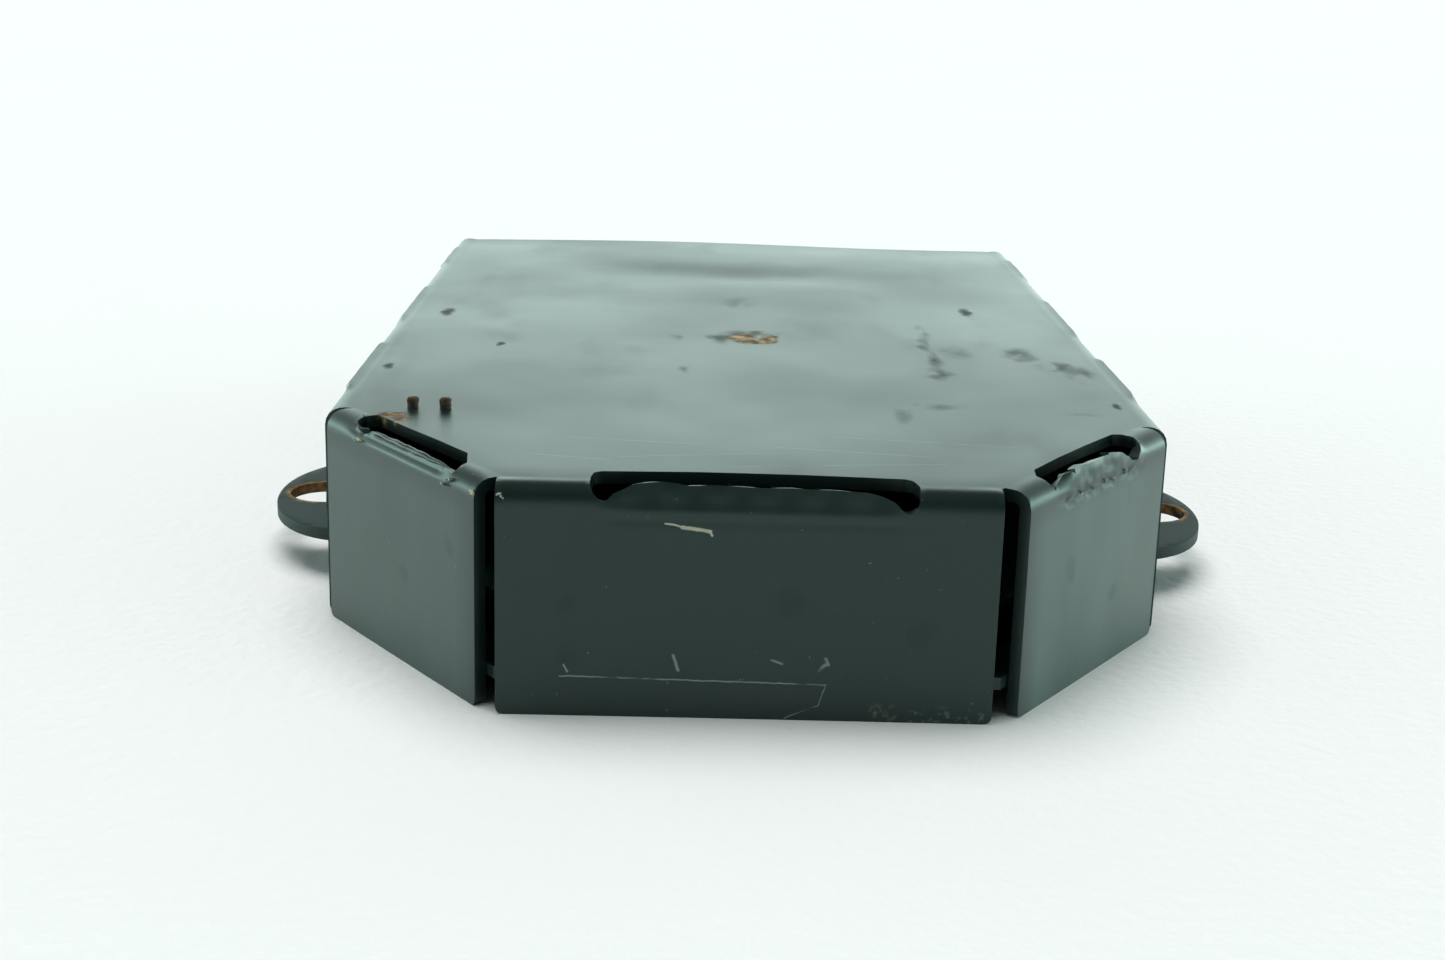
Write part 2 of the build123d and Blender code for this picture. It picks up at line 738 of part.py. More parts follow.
# ---- electronics ----
def main_board():
    body = plate(BOARD_FRONT_INSET, BOARD_END_Y, BOARD_Z)
    for x, y in STANDOFFS:
        body -= rod(x, y, (0, 30), M3 + 0.1)
    return body


def standoffs():
    posts = []
    for x, y in STANDOFFS:
        post = hexagon(x, y, (FLOOR_TOP, BOARD_Z[0]), 5.5) - rod(x, y, (FLOOR_TOP + 3, 20), M3 + FIT)
        posts.append(post + rod(x, y, (FLOOR_TOP - SHEET, FLOOR_TOP), M3))
    return group(posts)


def board_screws():
    return group(pan_screw(x, y, BOARD_Z[1], 4.5, M3) for x, y in STANDOFFS)


def on_board(x, y, half_x, half_y, height):
    top = BOARD_Z[1]
    return box((x - half_x, x + half_x), (y - half_y, y + half_y), (top, top + height))


def processor():
    body = on_board(0, -62, 11, 11, 1.6)
    return chamfer(body.edges().group_by(Axis.Z)[-1], 0.3)


def thermal_pads():
    low = BOARD_Z[1] + 1.6
    pads = [box((-11, 11), (-73, -51), (low, low + 0.5))]
    pads.append(box((-13, 13), (-75, -49), (ROOF - 0.6, ROOF)))
    return group(pads)


def heat_spreader():
    """Block that carries heat from the processor up to the roof."""
    z = (BOARD_Z[1] + 2.1, ROOF - 0.6)
    body = box((-13, 13), (-75, -49), z)
    for x in (-9, -3, 3, 9):
        body -= box((x - 1.2, x + 1.2), (-80, -40), (z[0] + 4, z[1] - 4))
    return body


def memory_chips():
    chips = [on_board(x, y, 5, 6.5, 1.2) for x, y in ((-24, -70), (-24, -52), (24, -52), (24, -74))]
    chips.append(on_board(24, -22, 4, 4, 1.4))
    return group(chips)


def inductors():
    coils = []
    for x, y in ((-44, -38), (-44, -22), (-30, -30)):
        coil = on_board(x, y, 5, 5, 5)
        coils.append(fillet(coil.edges().filter_by(Axis.Z), 2))
    return group(coils)


def capacitors():
    cans = []
    for x, y in ((42, -44), (42, -32), (54, -38), (-10, -100), (2, -100)):
        top = BOARD_Z[1]
        can_body = rod(x, y, (top, top + 9), 4)
        cans.append(fillet(can_body.edges().group_by(Axis.Z)[-1], 0.6))
    return group(cans)


def board_connectors():
    """Ribbon connectors on the main board, the optics board and the motor board."""
    shells = [on_board(x, 4, wide, 3, 2.6) for x, wide in ((SPIN[0], 6), (-49, 4), (36, 8))]
    back = BLOCK_X[0] - 1.6
    shells.append(box((back - 4, back), (87, 95), (11.5, 14.7)))
    low = BENCH_TOP + 2.1
    shells.append(box((SPIN[0] - 4.5, SPIN[0] + 4.5), (57.5, 61), (low, low + 1.6)))
    return group(shells)


def ribbon(points, x):
    """Flat cable of constant width, its route given in the YZ plane."""
    path = FilletPolyline(*points, radius=2.0)
    strip = trace(path, line_width=0.3)
    sketch = Plane(origin=(x[0], 0, 0), x_dir=(0, 1, 0), z_dir=(1, 0, 0))
    return sketch * extrude(strip, x[1] - x[0])


def motor_ribbon():
    low = BENCH_TOP + 2.9
    start = BOARD_Z[1] + 1.3
    points = ((7, start), (14, start), (22, low), (57.5, low))
    return ribbon(points, (SPIN[0] - 4, SPIN[0] + 4))


def optics_ribbon():
    start = BOARD_Z[1] + 1.3
    points = ((7, start), (14, start), (22, 13.1), (87, 13.1))
    return ribbon(points, (-51.3, -48.0))


PIECES = (
    cover, base_plate, mounting_strap, strap_rivets, case_screws, case_nuts, ground_studs,
    breather_vent, rear_bezel, window_pane, window_gasket, window_retainer, retainer_screws,
    bezel_screws, connector_shell, connector_nut, connector_insert, connector_pins,
    optical_bench, bench_screws, motor_base, motor_screws, motor_board, stator_core,
    stator_coils, bearing_outer_rings, bearing_inner_rings, bearing_balls, bearing_cages,
    rotor_shaft, rotor_bell, magnet_ring, encoder_disc, encoder_sensor, mirror_carrier,
    mirror_facets, mirror_screw, optics_block, block_screws, receiver_lens, receiver_filter,
    lens_retainer, photodiode, collimator_barrel, collimator_lens, laser_diode, optics_board,
    main_board, standoffs, board_screws, processor, heat_spreader, thermal_pads,
    memory_chips, inductors, capacitors, board_connectors, motor_ribbon, optics_ribbon,
)

os.makedirs("parts", exist_ok=True)
for piece in PIECES:
    export_step(piece(), "parts/" + piece.__name__ + ".step")
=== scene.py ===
"""Looks of the lidar scanner module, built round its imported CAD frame. Metres; sheet work in millimetres."""
import json
import math
import random

import bmesh
import bpy
import numpy as np
from mathutils import Matrix, Vector, geometry


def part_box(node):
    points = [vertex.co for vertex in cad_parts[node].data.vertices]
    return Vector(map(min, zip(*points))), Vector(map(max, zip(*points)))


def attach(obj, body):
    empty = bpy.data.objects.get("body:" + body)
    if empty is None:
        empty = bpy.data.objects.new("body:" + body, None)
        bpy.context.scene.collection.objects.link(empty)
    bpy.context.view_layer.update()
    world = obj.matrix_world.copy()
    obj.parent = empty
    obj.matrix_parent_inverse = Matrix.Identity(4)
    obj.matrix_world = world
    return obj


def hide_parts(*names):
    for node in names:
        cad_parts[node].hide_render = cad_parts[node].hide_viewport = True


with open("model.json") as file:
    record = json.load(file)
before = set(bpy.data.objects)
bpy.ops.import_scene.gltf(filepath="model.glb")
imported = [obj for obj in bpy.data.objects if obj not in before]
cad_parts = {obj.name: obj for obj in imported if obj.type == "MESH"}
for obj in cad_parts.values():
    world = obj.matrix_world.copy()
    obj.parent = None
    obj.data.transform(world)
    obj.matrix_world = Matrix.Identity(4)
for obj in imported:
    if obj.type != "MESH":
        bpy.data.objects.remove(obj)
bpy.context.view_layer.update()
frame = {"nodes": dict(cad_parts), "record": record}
random.seed(4)

MM = 0.001
case_low, case_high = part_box("cover")
HALF_WIDTH = case_high[0] / MM
BACK = case_low[1] / MM
FRONT = case_high[1] / MM
HEIGHT = case_high[2] / MM
SHEET = 2.0
BACK_CORNER_X = 40.5
SIDE_CORNER_Y = -76.8
CORNER_GAP = 0.9
EAR_HOLE_X = 81.0
EAR_HOLE_R = 7.0
RIVET_X = 45
RIVET_Y = 12
RIVET_HOLE_R = 2.02
STUD_HOLE_R = 1.02
SCREW_HOLE_R = {"case_screws": 3.62, "bezel_screws": 2.72}
BACK_OVERHANG = 0.9
BACK_SHORT = 0.1
SIDE_SHORT = 0.15
LIP_START = 2.5
LIP_EASE = 7
FLAT_STEP, WALL_STEP, BEND_STEP, SLOT_STEP = 3.1, 2.6, 0.8, 0.55
OUTLINE_GAP, HOLE_GAP = 0.45, 0.4
COAT_IOR = 1.52
COAT_TINT = (0.78, 1, 0.95, 1)
EASE_IN, HOLD, EASE_OUT = 3.2, 2.2, 2.4


def bend_profile():
    """Turn, reach and drop along a bend that eases in, holds its curvature and eases out."""
    length = EASE_IN + HOLD + EASE_OUT
    places = np.linspace(0, length, 400)
    curve = np.minimum(1, np.minimum(places / EASE_IN, (length - places) / EASE_OUT))
    step = places[1] - places[0]
    turn = np.concatenate([[0], np.cumsum((curve[1:] + curve[:-1]) / 2 * step)])
    turn *= math.pi / 2 / turn[-1]
    middle = (turn[1:] + turn[:-1]) / 2
    reach = np.concatenate([[0], np.cumsum(np.cos(middle) * step)])
    drop = np.concatenate([[0], np.cumsum(np.sin(middle) * step)])
    return places, turn, reach, drop


PROFILE = bend_profile()
ARC = PROFILE[0][-1]
INSET = PROFILE[2][-1]
LEG = HEIGHT - PROFILE[3][-1]
FLANGE_LENGTH = ARC + LEG
OUTER_BEND = 4.0


# ---------------------------------------------------------------- geometry helpers
def new_object(name, mesh):
    made = bpy.data.objects.new(name, mesh)
    bpy.context.scene.collection.objects.link(made)
    return made


def apply_modifiers(made):
    """Replaces the object's mesh with the one its modifiers give."""
    graph = bpy.context.evaluated_depsgraph_get()
    mesh = bpy.data.meshes.new_from_object(made.evaluated_get(graph))
    made.modifiers.clear()
    made.data = mesh


def smooth(made, angle=35):
    for face in made.data.polygons:
        face.use_smooth = True
    made.data.set_sharp_from_angle(angle=math.radians(angle))


def densify(points, step):
    """Closed outline with no run longer than step."""
    dense = []
    for here, there in zip(points, points[1:] + points[:1]):
        count = max(1, math.ceil(math.dist(here, there) / step))
        for part in range(count):
            share = part / count
            dense.append((here[0] + (there[0] - here[0]) * share, here[1] + (there[1] - here[1]) * share))
    return dense


def rounded(points, radii, steps=5):
    """Outline whose corners are rounded, each by its own radius."""
    result = []
    count = len(points)
    for index, radius in enumerate(radii):
        corner = Vector(points[index])
        if radius <= 0:
            result.append(tuple(corner))
            continue
        before = (Vector(points[index - 1]) - corner).normalized()
        after = (Vector(points[(index + 1) % count]) - corner).normalized()
        half = math.acos(max(-1, min(1, before.dot(after)))) / 2
        room = min(math.dist(points[index - 1], corner), math.dist(points[(index + 1) % count], corner))
        reach = min(radius / math.tan(half), 0.45 * room)
        start = corner + before * reach
        end = corner + after * reach
        for step in range(steps + 1):
            share = step / steps
            bend = start.lerp(corner, share).lerp(corner.lerp(end, share), share)
            result.append(tuple(bend))
    return result


def inside(points, loop):
    """Which of the points lie inside the closed loop."""
    x, y = points[:, 0], points[:, 1]
    result = np.zeros(len(points), bool)
    ring = np.array(loop)
    for (ax, ay), (bx, by) in zip(ring, np.roll(ring, -1, axis=0)):
        crosses = (ay > y) != (by > y)
        if ay != by:
            result ^= crosses & (x < (bx - ax) * (y - ay) / (by - ay) + ax)
    return result


def near_loop(points, loop, gap):
    """Which of the points lie closer than gap to the loop's corners."""
    ring = np.array(loop)
    close = np.zeros(len(points), bool)
    for low in range(0, len(ring), 200):
        part = ring[low:low + 200]
        distance = np.linalg.norm(points[:, None, :] - part[None, :, :], axis=2).min(axis=1)
        close |= distance < gap
    return close


def thicken(points, faces, thickness):
    """Closed mesh between a sheet's outer face and its inner one, a thickness further in."""
    corners = points[faces]
    normals = np.cross(corners[:, 1] - corners[:, 0], corners[:, 2] - corners[:, 0])
    total = np.zeros_like(points)
    for column in range(3):
        np.add.at(total, faces[:, column], normals)
    total /= np.maximum(np.linalg.norm(total, axis=1, keepdims=True), 1e-9)
    count = len(points)
    seen = {}
    for a, b, c in faces.tolist():
        for edge in ((a, b), (b, c), (c, a)):
            seen[edge] = True
    rim = [(b, a, a + count, b + count) for a, b in seen if (b, a) not in seen]
    inner = [(c + count, b + count, a + count) for a, b, c in faces.tolist()]
    return np.vstack([points, points - total * thickness]), faces.tolist() + inner + rim


def flat_sheet(name, outer, holes, lattice, fold, edge):
    """Sheet cut to an outline with holes, folded by a function, thickened, with softened edges."""
    loops = [outer] + holes
    keep = inside(lattice, outer) & ~near_loop(lattice, outer, OUTLINE_GAP)
    for hole in holes:
        keep &= ~inside(lattice, hole) & ~near_loop(lattice, hole, HOLE_GAP)
    points = [tuple(point) for point in lattice[keep]]
    edges = []
    for loop in loops:
        first = len(points)
        points += loop
        edges += [(first + i, first + (i + 1) % len(loop)) for i in range(len(loop))]
    made = geometry.delaunay_2d_cdt([Vector(point) for point in points], edges, [], 0, 1e-5)
    flat = np.array([tuple(point) for point in made[0]])
    faces = np.array([face for face in made[2]])
    centres = flat[faces].mean(axis=1)
    solid = inside(centres, outer)
    for hole in holes:
        solid &= ~inside(centres, hole)
    faces = faces[solid]
    spread = flat[faces]
    turned = np.cross(spread[:, 1] - spread[:, 0], spread[:, 2] - spread[:, 0]) < 0
    faces[turned] = faces[turned][:, ::-1]
    used = np.unique(faces)
    renumber = np.full(len(flat), -1)
    renumber[used] = np.arange(len(used))
    folded = np.array([fold(*point) for point in flat[used]]) * MM
    points, faces = thicken(folded, renumber[faces], SHEET * MM)
    mesh = bpy.data.meshes.new(name)
    mesh.from_pydata(points.tolist(), [], faces)
    mesh.validate()
    sheet = new_object(name, mesh)
    soft = sheet.modifiers.new("soft", "BEVEL")
    soft.width = edge * MM
    soft.segments = 2
    soft.limit_method = "ANGLE"
    soft.angle_limit = math.radians(55)
    apply_modifiers(sheet)
    smooth(sheet, 42)
    return sheet


# ---------------------------------------------------------------- cover
class Fold:
    """One flange of the case: a fold line, the way it runs and the way it faces."""

    def __init__(self, name, corner, along, out, start, end, slots):
        self.name = name
        self.corner = Vector(corner)
        self.along = Vector(along).normalized()
        self.out = Vector(out).normalized()
        self.start = start
        self.end = end
        self.slots = slots

    def flat(self, along, out):
        """Place in the flat pattern of a point given along and out from the start of the bend."""
        return tuple(self.corner + self.along * along + self.out * (out - INSET))

    def local(self, point):
        offset = Vector(point) - self.corner
        return offset.dot(self.along), offset.dot(self.out) + INSET


class Slot:
    """Relief slot along a fold: its outline as (along, out), and how its lip stands."""

    def __init__(self, kind, points, raised, lean=0.0):
        self.kind = kind
        self.lean = lean
        self.points = [(along, out + INSET - OUTER_BEND) for along, out in points]
        self.raised = raised
        self.start = min(along for along, out in self.points)
        self.end = max(along for along, out in self.points)

    def outline(self, fold):
        loop = rounded(self.points, [1.1] * len(self.points))
        return densify([fold.flat(*point) for point in loop], 0.7)

    def within(self, along, ease):
        """0 outside the slot, rising to 1 inside it over a length."""
        share = min(1, max(0, min(along - self.start, self.end - along) / ease))
        return share * share * (3 - 2 * share)


# Outlines in millimetres: along the fold, and out from the start of a plain bend. They follow figures
# from a scratch program that turned places picked on the photograph into millimetres, changed by hand.
BACK_SLOT = [(-24.4, -4.4), (-23.2, -5.1), (-8, -5.6), (8, -5.2), (23.4, -4.3), (24.7, -3.5), (25.4, -0.5),
             (25.3, 2.8), (24.8, 5.0), (23.7, 6.0), (22.6, 5.4), (21.4, 4.1), (19.6, 3.3), (17, 2.7),
             (12.9, 2.5), (6, 2.3), (0, 2.35), (-5, 2.1), (-9.8, 2.3), (-11.6, 1.9), (-13.8, 1.7),
             (-16, 1.9), (-18.2, 2.2), (-19.6, 3.0), (-21.2, 3.7), (-22.2, 4.9), (-23.1, 4.8), (-24.2, 3.6),
             (-24.8, 1.5), (-24.8, -2)]
# these two are for a case 144 mm wide, and fitted() moves them to suit this one
LEFT_SLOT = [(18, -2.8), (12.9, 0), (11.4, 2.6), (11.8, 3.7), (13.2, 3.3), (15.4, 2.7), (22, 2.7), (29, 2.6),
             (39.6, 2.6), (41.2, 3.5), (43, 4.1), (45.6, 3.4), (47.6, 2.2), (49.0, 0.2), (48.4, -1.8),
             (38, -2.0), (28, -2.6)]
RIGHT_SLOT = [(16.3, -2.0), (12.9, 0), (12.0, 2.3), (12.5, 4.6), (13.5, 3.5), (15.4, 2.5), (17.6, 1.6),
              (20.3, 2.0), (22, 2.1), (25, 1.7), (29.8, 1.6), (33, 2.0), (36.5, 2.8), (39.6, 4.2),
              (41.4, 5.3), (43, 5.4), (45, 4.4), (46.8, 3.0), (47.9, 1.2), (48.1, -0.6), (46.9, -1.9),
              (37, -2.3), (26, -2.3)]
FIT_ALONG = 0.972
FIT_EDGE = 0.5
FIT_ROOF = 0.0148
FIT_WALL = 0.007


def fitted(points):
    """Outline for the 144 mm case, shortened along the fold and turned slightly inwards."""
    result = []
    for along, out in points:
        inwards = FIT_ROOF if out <= FIT_EDGE else FIT_WALL
        result.append((round(along * FIT_ALONG, 1), round(out - inwards * along, 1)))
    return result


def side_slot(start, end, bite):
    """Slot in a side bend, below its silhouette but for a bite at its near end."""
    top = 4.2
    edge = [(start, top + 0.5), (start + 0.4, 5.9), (start + 2.5, 6.0), (start + 12, 5.7), (end - 12, 5.8),
            (end - 1, 5.9), (end, top + 0.6), (end - 1, top), (start + 16, top)]
    bitten = [(start + 9, top - 0.5 * bite), (start + 3.5, top - bite), (start + 0.8, top - 0.6 * bite)]
    return Slot("side", edge + bitten, 0.3 + 0.1 * bite)


def case_folds():
    side_y = SIDE_CORNER_Y
    slope = Vector((HALF_WIDTH - BACK_CORNER_X, side_y - BACK)).normalized()
    shift = INSET * (slope.x - 1) / slope.y
    inset_back_x = BACK_CORNER_X + shift
    back_start = (inset_back_x - BACK_CORNER_X) * slope.x + INSET * slope.y
    length = math.hypot(HALF_WIDTH - BACK_CORNER_X, side_y - BACK)
    side_shift = INSET * (1 - slope.y) / slope.x
    inset_side_y = side_y + side_shift
    chamfer_end = length - INSET * slope.x + side_shift * slope.y
    folds = [Fold("back", (0, BACK), (1, 0), (0, -1), -inset_back_x - BACK_OVERHANG,
                  inset_back_x - BACK_SHORT, [Slot("back", BACK_SLOT, 0.9, 0.2)])]
    slots = {1: [side_slot(-55, -14, 1.3), side_slot(4, 51, 0.3), side_slot(78, 110, 0),
                 Slot("right", fitted(RIGHT_SLOT), 0.9)],
             -1: [side_slot(-62, -15, 1.5), side_slot(3, 50, 0.5), side_slot(78, 110, 0),
                  Slot("left", fitted(LEFT_SLOT), 0.12)]}
    for hand in (1, -1):
        mark = "right" if hand > 0 else "left"
        folds.append(Fold(mark + "_chamfer", (hand * BACK_CORNER_X, BACK), (hand * slope.x, slope.y),
                          (hand * slope.y, -slope.x), back_start + CORNER_GAP, chamfer_end, slots[hand][3:]))
        folds.append(Fold(mark + "_side", (hand * HALF_WIDTH, 0), (0, 1), (hand, 0),
                          inset_side_y + SIDE_SHORT, FRONT, slots[hand][:3]))
    return folds


FOLDS = case_folds()


def cover_outline():
    """Outline of the unfolded sheet, anticlockwise from the back flange."""
    named = {fold.name: fold for fold in FOLDS}
    order = [("back", False), ("right_chamfer", False), ("right_side", False), ("left_side", True),
             ("left_chamfer", True)]
    points = []
    radii = []
    for name, backwards in order:
        fold = named[name]
        first, last = (fold.end, fold.start) if backwards else (fold.start, fold.end)
        corners = [(first, 0), (first, FLANGE_LENGTH), (last, FLANGE_LENGTH), (last, 0)]
        points += [fold.flat(*corner) for corner in corners]
        radii += [0, 1.4, 1.4, 0]
    return densify(rounded(points, radii), 1.1)


def strap_windows():
    """Openings in both side flanges that the mounting strap passes through."""
    strap_low, strap_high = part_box("mounting_strap")
    top = FLANGE_LENGTH - strap_high[2] / MM - 0.3
    bottom = FLANGE_LENGTH - strap_low[2] / MM + 0.2
    near, far = strap_low[1] / MM - 0.5, strap_high[1] / MM + 0.5
    windows = []
    for fold in FOLDS:
        if fold.name.endswith("side"):
            corners = [(near, top), (far, top), (far, bottom), (near, bottom)]
            windows.append(densify([fold.flat(*corner) for corner in corners], 1.2))
    return windows


def circle(x, y, radius, count=28):
    return [(x + radius * math.cos(2 * math.pi * i / count), y + radius * math.sin(2 * math.pi * i / count))
            for i in range(count)]


def screw_holes():
    """Round holes in the side flanges, at the heads of the case and bezel screws."""
    holes = []
    for node, radius in SCREW_HOLE_R.items():
        for centre in solid_centres(node):
            for fold in FOLDS:
                if fold.name == ("right_side" if centre.x > 0 else "left_side"):
                    drop = FLANGE_LENGTH - centre.z / MM
                    holes.append(circle(*fold.flat(centre.y / MM, drop), radius))
    return holes


def solid_centres(node):
    """Middle of each separate solid in a CAD node."""
    mesh = frame["nodes"][node].data
    group = bmesh.new()
    group.from_mesh(mesh)
    bmesh.ops.remove_doubles(group, verts=group.verts, dist=1e-6)
    unseen = set(group.verts)
    centres = []
    while unseen:
        queue = [unseen.pop()]
        island = []
        while queue:
            vertex = queue.pop()
            island.append(vertex.co.copy())
            for edge in vertex.link_edges:
                other = edge.other_vert(vertex)
                if other in unseen:
                    unseen.remove(other)
                    queue.append(other)
        low = Vector(min(place[i] for place in island) for i in range(3))
        high = Vector(max(place[i] for place in island) for i in range(3))
        centres.append((low + high) / 2)
    group.free()
    return centres


def cover_lattice():
    """Inner points of the sheet: coarse on flats, fine over the bends and round the slots."""
    across = np.arange(-HALF_WIDTH, HALF_WIDTH, FLAT_STEP)
    lengthways = np.arange(BACK, FRONT, FLAT_STEP)
    flat = np.array([(x, y) for x in across for y in lengthways])
    keep = np.ones(len(flat), bool)
    extra = []
    for fold in FOLDS:
        out = (flat - np.array(fold.corner)) @ np.array(fold.out) + INSET
        keep &= out < -7
        for step in np.arange(fold.start + 0.6, fold.end - 0.5, BEND_STEP):
            near_slot = any(slot.start - 5 < step < slot.end + 5 for slot in fold.slots)
            if near_slot or int(step / BEND_STEP) % 2 == 0:
                rows = np.arange(-6.5, ARC + 4, SLOT_STEP if near_slot else BEND_STEP)
                extra += [fold.flat(step, out) for out in rows]
        for step in np.arange(fold.start + 1.2, fold.end - 0.8, WALL_STEP):
            extra += [fold.flat(step, out) for out in np.arange(ARC + 5.5, FLANGE_LENGTH - 1, WALL_STEP)]
    return np.vstack([flat[keep], np.array(extra)])


def bump(distance, reach):
    return math.exp(-(distance / reach) ** 2)


def roof_wave(x, y):
    """Unevenness of the roof: a shallow dent near the window end and long waves."""
    dent = -0.85 * math.exp(-((x - 2) / 24) ** 2 - ((y - 72) / 12) ** 2)
    dent += 0.3 * math.exp(-((x + 4) / 40) ** 2 - ((y - 48) / 13) ** 2)
    dent -= 0.2 * math.exp(-((x - 48) / 20) ** 2 - ((y - 20) / 26) ** 2)
    waves = 0.09 * math.sin(x * 0.06 + 1.1) * math.sin(y * 0.045 + 0.4)
    rear = 0.35 * math.sin(x * 0.05 + 2.2) * bump(y - FRONT, 16)
    return dent + waves + rear - 0.45 * bump(y - FRONT, 16) - 0.12


def lip_relief(fold, along, out):
    """Swell, crease and tearing of the strip of metal below each slot."""
    push = 0.0
    crease = ARC - 0.6
    for slot in fold.slots:
        ease = slot.within(along, 5)
        if not ease:
            continue
        if slot.kind == "back":
            push += ease * (0.14 * bump(out - crease, 0.9) - 0.16 * bump(out - crease - 1.3, 0.7))
            push += ease * 0.12 * math.sin(along * 0.9) * bump(out - 4, 2)
        elif slot.kind == "left":
            push -= ease * 0.5 * bump(out - 4.75, 0.55)
        elif slot.kind == "right":
            tear = 0.25 * math.sin(along * 1.9) + 0.18 * math.sin(along * 4.1 + 1)
            tear += 0.35 * math.sin(along * 0.8)
            swell = 0.24 * bump(out - crease + 1.0 - tear, 1.0)
            groove = 0.3 * bump(out - crease - 0.5 - tear, 0.6)
            ripple = 0.16 * math.sin(along * 0.75 + 0.5) + 0.07 * math.sin(along * 2.3)
            push += ease * (swell - groove)
            push += ease * ripple * bump(out - 4.5, 2)
            push -= ease * 0.3 * bump(out - 2.2, 1.2)
        elif out > 0:
            push += ease * (0.3 * bump(out - 6.4, 2.2) + 0.14 * math.sin(along * 0.55) * bump(out - 5.5, 1.6))
    return push


def wall_wave(fold, along, out):
    """Slight unevenness of a flange below its bend."""
    return 0.11 * math.sin(along * 0.05 + 0.6 + len(fold.name)) * min(1, out / 20)


def fold_cover(x, y):
    """Place on the case's outer face of a point in the flat pattern."""
    lift = roof_wave(x, y)
    for fold in FOLDS:
        along, out = fold.local((x, y))
        if -6 < out <= 1e-6:
            lift -= 0.1 * ((out + 6) / 6) ** 2
        if out <= 1e-6 or not fold.start - 0.02 <= along <= fold.end + 0.02:
            continue
        turn, reach, drop = (float(np.interp(out, PROFILE[0], column)) for column in PROFILE[1:])
        drop += max(0, out - ARC)
        raised = 0
        if out > LIP_START:
            raised = sum(slot.raised * slot.within(along, LIP_EASE) for slot in fold.slots)
        leaning = sum(slot.lean * slot.within(along, LIP_EASE) for slot in fold.slots)
        reach += (INSET - reach) * raised
        reach -= max(0, ARC - out) * leaning * (out > LIP_START)
        drop += (PROFILE[3][-1] - (ARC - out) - drop) * raised * (out < ARC)
        turn += (math.pi / 2 - turn) * raised
        push = lip_relief(fold, along, out) + wall_wave(fold, along, out) - 0.2 * min(1, out / ARC)
        flat = fold.corner + fold.along * along + fold.out * (reach - INSET + push * math.sin(turn))
        fade = (lift - 0.1) * max(0, 1 - out / 5)
        height = max(0.0, HEIGHT - drop + fade + push * math.cos(turn))
        return (flat.x, flat.y, height)
    return (x, y, HEIGHT + lift)


def make_cover():
    holes = [slot.outline(fold) for fold in FOLDS for slot in fold.slots]
    holes += strap_windows() + screw_holes()
    for centre in solid_centres("ground_studs"):
        holes.append(circle(centre.x / MM, centre.y / MM, STUD_HOLE_R, 14))
    cover = flat_sheet("cover_folded", cover_outline(), holes, cover_lattice(), fold_cover, 0.4)
    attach(cover, "housing")
    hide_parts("cover")
    return cover


# ---------------------------------------------------------------- strap and studs
def make_strap():
    low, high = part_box("mounting_strap")
    middle = (low[1] + high[1]) / 2 / MM
    half = (high[1] - low[1]) / 2 / MM
    nose = high[0] / MM - HALF_WIDTH
    points = []
    for hand in (1, -1):
        for step in range(33):
            turn = math.radians(-90 + 180 * step / 32)
            reach = HALF_WIDTH + nose * math.cos(turn)
            points.append((hand * reach, middle + hand * half * math.sin(turn)))
    outer = densify(points, 1.5)
    holes = [circle(hand * EAR_HOLE_X, middle, EAR_HOLE_R, 40) for hand in (1, -1)]
    rivets = [(x, middle + y) for x in (-RIVET_X, RIVET_X) for y in (-RIVET_Y, RIVET_Y)]
    holes += [circle(*rivet, RIVET_HOLE_R, 16) for rivet in rivets]
    across = np.arange(-95, 95, WALL_STEP)
    lengthways = np.arange(middle - half, middle + half, WALL_STEP)
    lattice = np.array([(x, y) for x in across for y in lengthways])

    def lie(x, y):
        edge = max(0, abs(x) - HALF_WIDTH)
        return (x, y, high[2] / MM - 0.05 + 0.004 * edge * math.sin(y * 0.2))

    strap = flat_sheet("mounting_strap_bar", outer, holes, lattice, lie, 0.5)
    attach(strap, "housing")
    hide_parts("mounting_strap")
    return strap


def make_studs():
    """Two rusted stubs with rough, uneven tops."""
    sides = 20
    low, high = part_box("ground_studs")
    roof = HEIGHT * MM
    heights = [low[2], low[2] + 0.8 * MM, low[2] + 0.81 * MM, roof - 0.2 * MM, roof + 0.5 * MM,
               roof + 1.0 * MM, high[2] - 0.35 * MM, high[2] - 0.1 * MM]
    radii = [1.75, 1.75, 0.98, 0.97, 0.92, 1.02, 0.98, 0.74]
    build = bmesh.new()
    for centre in solid_centres("ground_studs"):
        rings = []
        for height, radius in zip(heights, radii):
            above = height > roof
            row = []
            for step in range(sides):
                turn = 2 * math.pi * step / sides
                rough = 1 + random.uniform(-0.12, 0.1) if above else 1
                reach = radius * rough * MM
                jitter = random.uniform(-0.05, 0.05) * MM * above
                x = centre.x + reach * math.cos(turn)
                y = centre.y + reach * math.sin(turn)
                row.append(build.verts.new((x, y, height + jitter)))
            rings.append(row)
        for lower, upper in zip(rings, rings[1:]):
            for step in range(sides):
                ahead = (step + 1) % sides
                build.faces.new((lower[step], lower[ahead], upper[ahead], upper[step]))
        build.faces.new(list(reversed(rings[0])))
        tip = build.verts.new((centre.x, centre.y, high[2] - 0.2 * MM))
        for step in range(sides):
            build.faces.new((rings[-1][step], rings[-1][(step + 1) % sides], tip))
    mesh = bpy.data.meshes.new("ground_stud_stubs")
    build.to_mesh(mesh)
    build.free()
    studs = new_object("ground_stud_stubs", mesh)
    smooth(studs, 50)
    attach(studs, "housing")
    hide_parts("ground_studs")
    return studs


